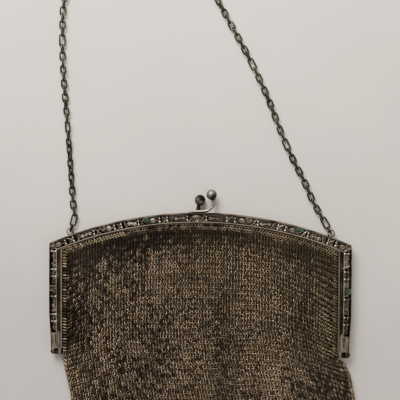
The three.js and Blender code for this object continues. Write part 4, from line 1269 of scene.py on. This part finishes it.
class PURSE_OT_clasp(bpy.types.Operator):
    """Builds the two halves of the ball clasp."""
    bl_idname = "purse.clasp"
    bl_label = "Ball clasp"

    def execute(self, context):
        settings = context.scene.purse_frame
        dark = settings.gunmetal_dark
        self.front(worn_metal("satin ball", settings.satin, dark, 0.34, green=False, patch=420.0))
        self.back(worn_metal("dark satin ball", settings.satin_dark, dark, 0.34, green=False))
        return {"FINISHED"}

    def front(self, metal):
        """The lever along the frame's top, painted light above and dark below as shade, its collar, and its
        ball, painted darker on its right as shade.
        """
        ball = box_mm("clasp_front")[1] - FRONT_BALL
        low = APEX_Y + SEAT_GAP + 0.35
        z = HALF_JOINT_Z + 0.95
        route = [(x, low + up, z) for x, up in LEVER_ROUTE]
        sides = 12
        path, _ = soft_path(route, LEVER_STEPS)
        radii = 0.45 + 0.29 * smooth(np.linspace(0, 1, LEVER_STEPS) / 0.45)
        work = Metalwork()
        bar = tube(path, radii, sides)
        # Painted light on the lever's upper side, painted shade on its lower side
        height = (bar[0][:, 1] - np.repeat(path[:, 1], sides)) / np.repeat(radii, sides)
        work.add(bar, None, PLATE, np.clip(0.75 + 0.5 * height, 0.05, 1))
        way = unit(np.array(route[-1]) - ball)
        collar = [ball + way * reach for reach, _ in COLLAR]
        work.add(tube(collar, [radius for _, radius in COLLAR], 16), None, PLATE, 0.1)
        form = turned(ball_profile(FRONT_BALL, 20), 32, ball)
        # Painted shade on the ball's right side
        right = (form[0] - ball) @ unit(np.array([0.8, -0.6, 0.3])) / FRONT_BALL
        work.add(form, None, PLATE, 0.85 - 0.75 * smooth(right / 0.8))
        metal_piece("clasp_front_metal", work, [metal], ["clasp_front"])

    def back(self, metal):
        """The post and its ball, which has a painted dark reflection at its upper right."""
        low, high = box_mm("clasp_back")
        ball = np.array([(low[0] + high[0]) / 2, high[1] - BACK_BALL, high[2] - BACK_BALL])
        foot = np.array([-1.0, APEX_Y + SEAT_GAP, low[2] + 1.95])
        steps = 14
        path, _ = soft_path([foot, foot + (0.1, 1.6, 0), ball - (0.7, 2.4, 0.2)], steps)
        work = Metalwork()
        work.add(tube(path, np.linspace(1.15, 0.85, steps), 12), None, PLATE, 0.0)
        form = turned(ball_profile(BACK_BALL, 20), 32, ball)
        # Painted dark reflection on the ball's upper right
        patch = np.linalg.norm(form[0] - (ball + BACK_BALL * unit(np.array([0.45, 0.6, 0.66]))), axis=1)
        work.add(form, None, PLATE, 0.75 * smooth((patch - 1.8) / 1.0))
        metal_piece("clasp_back_metal", work, [metal], ["clasp_back"])


class PURSE_OT_stones(bpy.types.Operator):
    """Builds the three green stones."""
    bl_idname = "purse.stones"
    bl_label = "Stones"

    def execute(self, context):
        settings = context.scene.purse_frame
        material, graph, shader = new_material("green glass", settings.glass)
        cloud = graph.noise(900.0, 2.0)
        deep = colour([v * 0.35 for v in settings.glass])
        clear = graph.mix(cloud, deep, colour(settings.glass))
        graph.feed(shader, {"Base Color": clear, "Roughness": graph.ramp(cloud, 0.3, 0.7, 0.04, 0.14)})
        graph.feed(shader, GLASS)
        for node in STONES:
            low, high = box_mm(node)
            middle, radius, top = (low + high) / 2, (high[0] - low[0]) / 2, high[2]
            rings = [(0.35, low[2], 0), (0.95, top - 0.75, 0.5), (1.0, top - 0.6, 0),
                     (0.86, top - 0.28, 0.5), (0.62, top, 0)]
            points = [(middle[0] + radius * share * math.cos((i + shift) * math.pi / 4),
                       middle[1] + radius * share * math.sin((i + shift) * math.pi / 4), z)
                      for share, z, shift in rings for i in range(8)]
            faces = []
            for r in range(len(rings) - 1):
                for i in range(8):
                    a, b = r * 8 + i, r * 8 + (i + 1) % 8
                    c, d = b + 8, a + 8
                    faces += [(a, b, d), (b, c, d)] if rings[r][2] == 0 else [(a, b, c), (a, c, d)]
            faces += [tuple(range(8))[::-1], tuple(range(len(points) - 8, len(points)))]
            work = Metalwork()
            work.add((np.array(points), faces), None, PLATE, 1.0)
            metal_piece(f"{node}_glass", work, [material], [node], STONE_CREASE)
        return {"FINISHED"}


def link_path(length, width, wire):
    """Middle line of one link's wire, flat in its own plane."""
    end = (width - wire) / 2
    straight = (length - wire) / 2 - end
    turn = (np.arange(LINK_STEPS) + 0.5) * 2 * math.pi / LINK_STEPS
    x = np.sign(np.cos(turn)) * max(straight, 0) + end * np.cos(turn)
    return np.column_stack([x, end * np.sin(turn), np.zeros(LINK_STEPS)])


class PURSE_OT_chain(bpy.types.Operator):
    """Builds the chain's links and the two rings that hold it."""
    bl_idname = "purse.chain"
    bl_label = "Chain"

    def execute(self, context):
        sizes = context.scene.purse_chain
        settings = context.scene.purse_frame
        metal = worn_metal("gunmetal wire", settings.gunmetal, settings.gunmetal_dark, 0.28, patch=90.0)
        reach = 2 * RING_RADIUS - 2 * RING_WIRE - sizes.wire / 2
        (left, left_way), (right, right_way) = eyelet_places()
        rest_z = box_mm("chain")[0][2] + CHAIN_REST
        middle = [(x, y, rest_z) for x, y in CHAIN_ROUTE]
        route = [left + left_way * reach, *middle, right + right_way * reach]
        self.links(sizes, route, metal)
        self.end_rings(metal)
        return {"FINISHED"}

    def sequence(self, sizes, length):
        """Outer lengths of the links: a long one first and last, and one more short one in the first gap."""
        short, long = sizes.short_link, sizes.long_link
        gap = [short] * sizes.between + [long]
        repeat = sum(gap) - 2 * sizes.wire * len(gap)
        first = long + short - 4 * sizes.wire
        count = round((length - first) / repeat)
        return [long, short] + gap * count

    def links(self, sizes, route, metal):
        """All the links along the route, each turned a quarter against the one before."""
        draws = np.random.default_rng(7)
        _, length = soft_path(route, 2)
        lengths = np.array(self.sequence(sizes, length))
        starts = np.concatenate([[0], np.cumsum(lengths - 2 * sizes.wire)])
        stretch = length / (starts[-1] + 2 * sizes.wire)
        centres = (starts[:-1] + lengths / 2) * stretch
        places, _ = soft_path(route, centres)
        ahead, _ = soft_path(route, np.minimum(centres + 0.8, length))
        behind, _ = soft_path(route, np.maximum(centres - 0.8, 0))
        along = unit((ahead - behind) * (1, 1, 0.0))
        work = Metalwork()
        for i, size in enumerate(lengths):
            wide = sizes.long_width if size > sizes.short_link + 0.5 else sizes.short_width
            # One quarter turn more over the first gap, so that all the long links lie flat
            extra = min(i / (sizes.between + 2), 1)
            roll = (i + extra) * math.pi / 2 + draws.normal(0, math.radians(10))
            across = np.cross(UP, along[i]) * math.cos(roll) + UP * math.sin(roll)
            normal = np.cross(along[i], across)
            points, faces = tube(link_path(size, wide, sizes.wire), sizes.wire / 2, 8, closed=True)
            placed = places[i] + points[:, :1] * along[i] + points[:, 1:2] * across + points[:, 2:] * normal
            # Painted highlight on the wire's faces that look along the link's normal, darker on its sides
            shine = 0.35 + 0.5 * np.abs(points[:, 2]) / (sizes.wire / 2) + draws.normal(0, 0.1)
            work.add((placed, faces), None, PLATE, np.clip(shine, 0, 1))
        metal_piece("chain_links", work, [metal], ["chain"], WIRE_CREASE)

    def end_rings(self, metal):
        """The two upright rings that join the chain to the eyelets."""
        turn = circle(28)[:, None]
        for name, (point, way) in zip(("left", "right"), eyelet_places()):
            loop = point + way * RING_RADIUS + RING_RADIUS * (np.cos(turn) * way + np.sin(turn) * UP)
            ring = Metalwork()
            ring.add(tube(loop, RING_WIRE, 10, up=np.cross(way, UP), closed=True), None, PLATE, 0.5)
            replaced = [f"chain_ring_{name}"]
            metal_piece(f"ring_{name}_wire", ring, [metal], replaced, WIRE_CREASE)


class PURSE_OT_mesh(bpy.types.Operator):
    """Builds the ring mesh of the bag."""
    bl_idname = "purse.mesh"
    bl_label = "Ring mesh"

    def execute(self, context):
        settings = context.scene.purse_mesh
        metal = ring_metal(settings)
        self.ground(settings)
        for label, upper, sides, around, seed in SHEETS:
            build_sheet(label, upper, sides, around, metal, seed)
        self.hem(settings, metal)
        self.edge_rings(settings, metal)
        return {"FINISHED"}

    def ground(self, settings):
        """A dark sheet of painted shade inside, which shows between the rings, open at the frame."""
        across = np.linspace(-GROUND_SHARE, GROUND_SHARE, GROUND_COLUMNS + 1)
        share, down = np.meshgrid(across, np.linspace(0, 1, GROUND_ROWS + 1))
        depth = 1 - (1 - down) ** GROUND_SPACING
        level = BAG_TOP_Y + GROUND_OVER - depth * (BAG_DEPTH - GROUND_SHORT)
        left, right, inset = bag_edges(level)
        x = (left + right) / 2 + ((right - left) / 2 - inset) * share
        follow = 1 - smooth((BAG_TOP_Y - level) / (BAG_TOP_Y - SIDE_TOP_Y))
        y = level + (arch_top(x) - BAG_TOP_Y) * follow
        back, front = bag_heights(x, y)
        back, front = back + GROUND_SINK, front - GROUND_SINK
        edge = np.maximum(np.abs(share) ** 30, smooth((BAG_BOTTOM_Y + 3 - y) / 2.0))
        middle = (front + back) / 2
        heights = [z + (middle - z) * edge * GROUND_PINCH for z in (front, back)]
        sheets = [np.stack([x, y, z], -1).reshape(-1, 3) for z in heights]
        index = np.arange(x.size).reshape(x.shape)
        quads = np.stack([index[1:, :-1], index[1:, 1:], index[:-1, 1:], index[:-1, :-1]], -1).reshape(-1, 4)
        rim = np.concatenate([index[:, 0], index[-1, 1:], index[-2::-1, -1]])
        walls = np.stack([rim[:-1], rim[:-1] + x.size, rim[1:] + x.size, rim[1:]], -1)
        mesh = bpy.data.meshes.new("mesh_shade_sheet")
        faces = np.concatenate([quads, quads[:, ::-1] + x.size, walls])
        mesh.from_pydata((np.concatenate(sheets) * MM).tolist(), [], faces.tolist())
        mesh.shade_smooth()
        piece = settle("mesh_shade_sheet", mesh, [self.shade(settings)], ["mesh_bag"])
        wall = piece.modifiers.new("wall", "SOLIDIFY")
        wall.thickness = GROUND_WALL * MM
        wall.offset = -1

    def hem(self, settings, metal):
        """Rings that close the bag's sides and bottom."""
        draws = np.random.default_rng(21)
        rings = []
        for i, (point, out) in enumerate(self.outline(settings.row_pitch)):
            back, front = bag_heights(*(np.array([v]) for v in point - out * HEM_PROBE))
            middle, reach = (front[0] + back[0]) / 2, (front[0] - back[0]) / 2 - 1.0
            run = np.array([-out[1], out[0], 0.0])
            outward = np.array([*out, 0.0])
            for angle in HEM_ANGLES:
                a = math.radians(angle + (HEM_TURN if i % 2 else -HEM_TURN))
                normal = outward * math.cos(a) + UP * math.sin(a)
                centre = np.array([*point, middle]) + outward * (math.cos(a) - HEM_INSET)
                centre[2] += reach * math.sin(a)
                rings.append((centre, run, np.cross(normal, run), normal))
        count = len(rings)
        template = ring_template(settings.ring_radius, settings.ring_radius, settings.ring_wire, 6, 3)
        way = np.where(np.arange(count) // len(HEM_ANGLES) % 2 == 0, 1, -1)
        lean = way * math.radians(settings.lean * 0.6)
        tones = np.clip(draws.normal(0.45, 0.22, count), 0, 1)
        points, faces = spread_rings(template, *(np.array(values) for values in zip(*rings)), lean)
        ring_piece("mesh_hem", points, faces, tones, metal)

    def outline(self, pitch):
        """Points and outward directions down the left side, along the bottom and up the right side."""
        levels = np.linspace(SIDE_TOP_Y - 0.5, BAG_BOTTOM_Y, 400)
        left, right, inset = bag_edges(levels)
        left_side = np.column_stack([left + inset, levels])
        right_side = np.column_stack([right - inset, levels])
        path = np.vstack([left_side, right_side[::-1]])
        lengths = np.concatenate([[0], np.cumsum(np.linalg.norm(np.diff(path, axis=0), axis=1))])
        at = np.arange(0, lengths[-1], pitch)
        points = np.column_stack([np.interp(at, lengths, path[:, i]) for i in range(2)])
        run = unit(np.gradient(points, axis=0))
        return list(zip(points, np.column_stack([run[:, 1], -run[:, 0]])))

    def edge_rings(self, settings, metal):
        """Rings that hang the mesh on the rail, along the arch and down the arms."""
        draws = np.random.default_rng(31)
        groups = (*self.arch_rings(settings, draws), self.arm_bars(settings, draws))
        points, faces, tones, shift = [], [], [], 0
        for rings, (form, tone) in zip(groups, EDGE_FORMS):
            centres, across, down, lean, spin = (np.array(v) for v in zip(*rings))
            normals = np.tile(UP, (len(centres), 1))
            some, some_faces = spread_rings(ring_template(*form), centres, across, down, normals, lean, spin)
            points.append(some)
            faces.append(some_faces + shift)
            shift += len(some)
            own_tones = np.clip(draws.normal(tone, 0.2, len(centres)), 0, 1)
            tones.append(np.repeat(own_tones, len(some) // len(centres)))
        joined = (np.concatenate(values) for values in (points, faces, tones))
        ring_piece("mesh_edge_rings", *joined, metal)

    def shade(self, settings):
        """The material of the dark sheet of painted shade inside."""
        material, graph, shader = new_material("shaded inside", settings.ground)
        weave = graph.noise(1300.0, 1.0)
        lighter = colour([v * 2.4 for v in settings.ground])
        bump = graph.add("ShaderNodeBump", {"Strength": 0.5, "Distance": 0.0002, "Height": weave})
        graph.feed(shader, {
            "Base Color": graph.mix(weave, colour(settings.ground), lighter),
            "Roughness": 0.7, "Metallic": 0.3, "Normal": bump.outputs[0],
        })
        return material

    def arch_rings(self, settings, draws):
        """Two rows of upright rings under the arch, and the loops that are pulled aside on its left."""
        radius = ARCH_RADIUS - TOP_BAND
        reach = math.asin((BAG_HALF_MOUTH - 0.6) / radius)
        count = int(2 * reach * radius / settings.ring_pitch)
        lattice, loops = [], []
        for row, (drop, height) in enumerate(ARCH_ROWS):
            for i in range(count - row):
                angle = ((i + 0.5 + 0.5 * row) / count * 2 - 1) * reach
                out = np.array([math.sin(angle), math.cos(angle), 0])
                run = np.array([math.cos(angle), -math.sin(angle), 0])
                pulled = LOOSE_LOOPS[0] < radius * math.sin(angle) < LOOSE_LOOPS[1]
                if pulled and row:
                    continue
                depth = drop + LOOP_DROP if pulled else drop
                centre = np.array([0, ARCH_CENTRE_Y, height]) + out * (radius - depth)
                ring = (centre, run, -out, draws.normal(0, 0.15), LOOP_SPIN if pulled else 0.0)
                (loops if pulled else lattice).append(ring)
        return lattice, loops

    def arm_bars(self, settings, draws):
        """Narrow rings side by side down both arms, slanted on the right one."""
        bars = []
        for side, slant in BAR_SLANTS:
            inner = side * (HALF_WIDTH - BAR_INSET)
            top_y = arch_y(inner, TOP_BAND) - BAR_START
            for i in range(int((top_y - SIDE_TOP_Y) / settings.ring_pitch)):
                tip = slant + 0.06 * draws.normal()
                centre = np.array([inner, top_y - i * settings.ring_pitch, BAR_Z])
                outward = np.array([-side * math.cos(tip), -math.sin(tip), 0])
                bars.append((centre, np.array([0, -1.0, 0]), outward, draws.normal(0.2, 0.12), 0.0))
        return bars


class PURSE_PT_panel(bpy.types.Panel):
    """Lists the purse's operators and settings."""
    bl_idname = "PURSE_PT_panel"
    bl_label = "Metal mesh purse"
    bl_space_type = "VIEW_3D"
    bl_region_type = "UI"
    bl_category = "Purse"

    def draw(self, context):
        for name in STEPS:
            self.layout.operator(f"purse.{name}")
        for holder in SETTINGS:
            box = self.layout.box()
            group = getattr(context.scene, holder)
            for key in group.bl_rna.properties.keys():
                if key not in ("rna_type", "name"):
                    box.prop(group, key)


STEPS = ["stage", "frame", "hinges", "clasp", "stones", "chain", "mesh"]
SETTINGS = {
    "purse_frame": PurseFrameSettings,
    "purse_mesh": PurseMeshSettings,
    "purse_chain": PurseChainSettings,
    "purse_stage": PurseStageSettings,
}
CLASSES = [
    *SETTINGS.values(), PURSE_OT_stage, PURSE_OT_frame, PURSE_OT_hinges, PURSE_OT_clasp,
    PURSE_OT_stones, PURSE_OT_chain, PURSE_OT_mesh, PURSE_PT_panel,
]


def register():
    for cls in CLASSES:
        bpy.utils.register_class(cls)
    for holder, cls in SETTINGS.items():
        setattr(bpy.types.Scene, holder, PointerProperty(type=cls))


def unregister():
    for holder in SETTINGS:
        delattr(bpy.types.Scene, holder)
    for cls in reversed(CLASSES):
        bpy.utils.unregister_class(cls)


def main():
    register()
    for name in STEPS:
        getattr(bpy.ops.purse, name)()


if __name__ == "__main__":
    main()
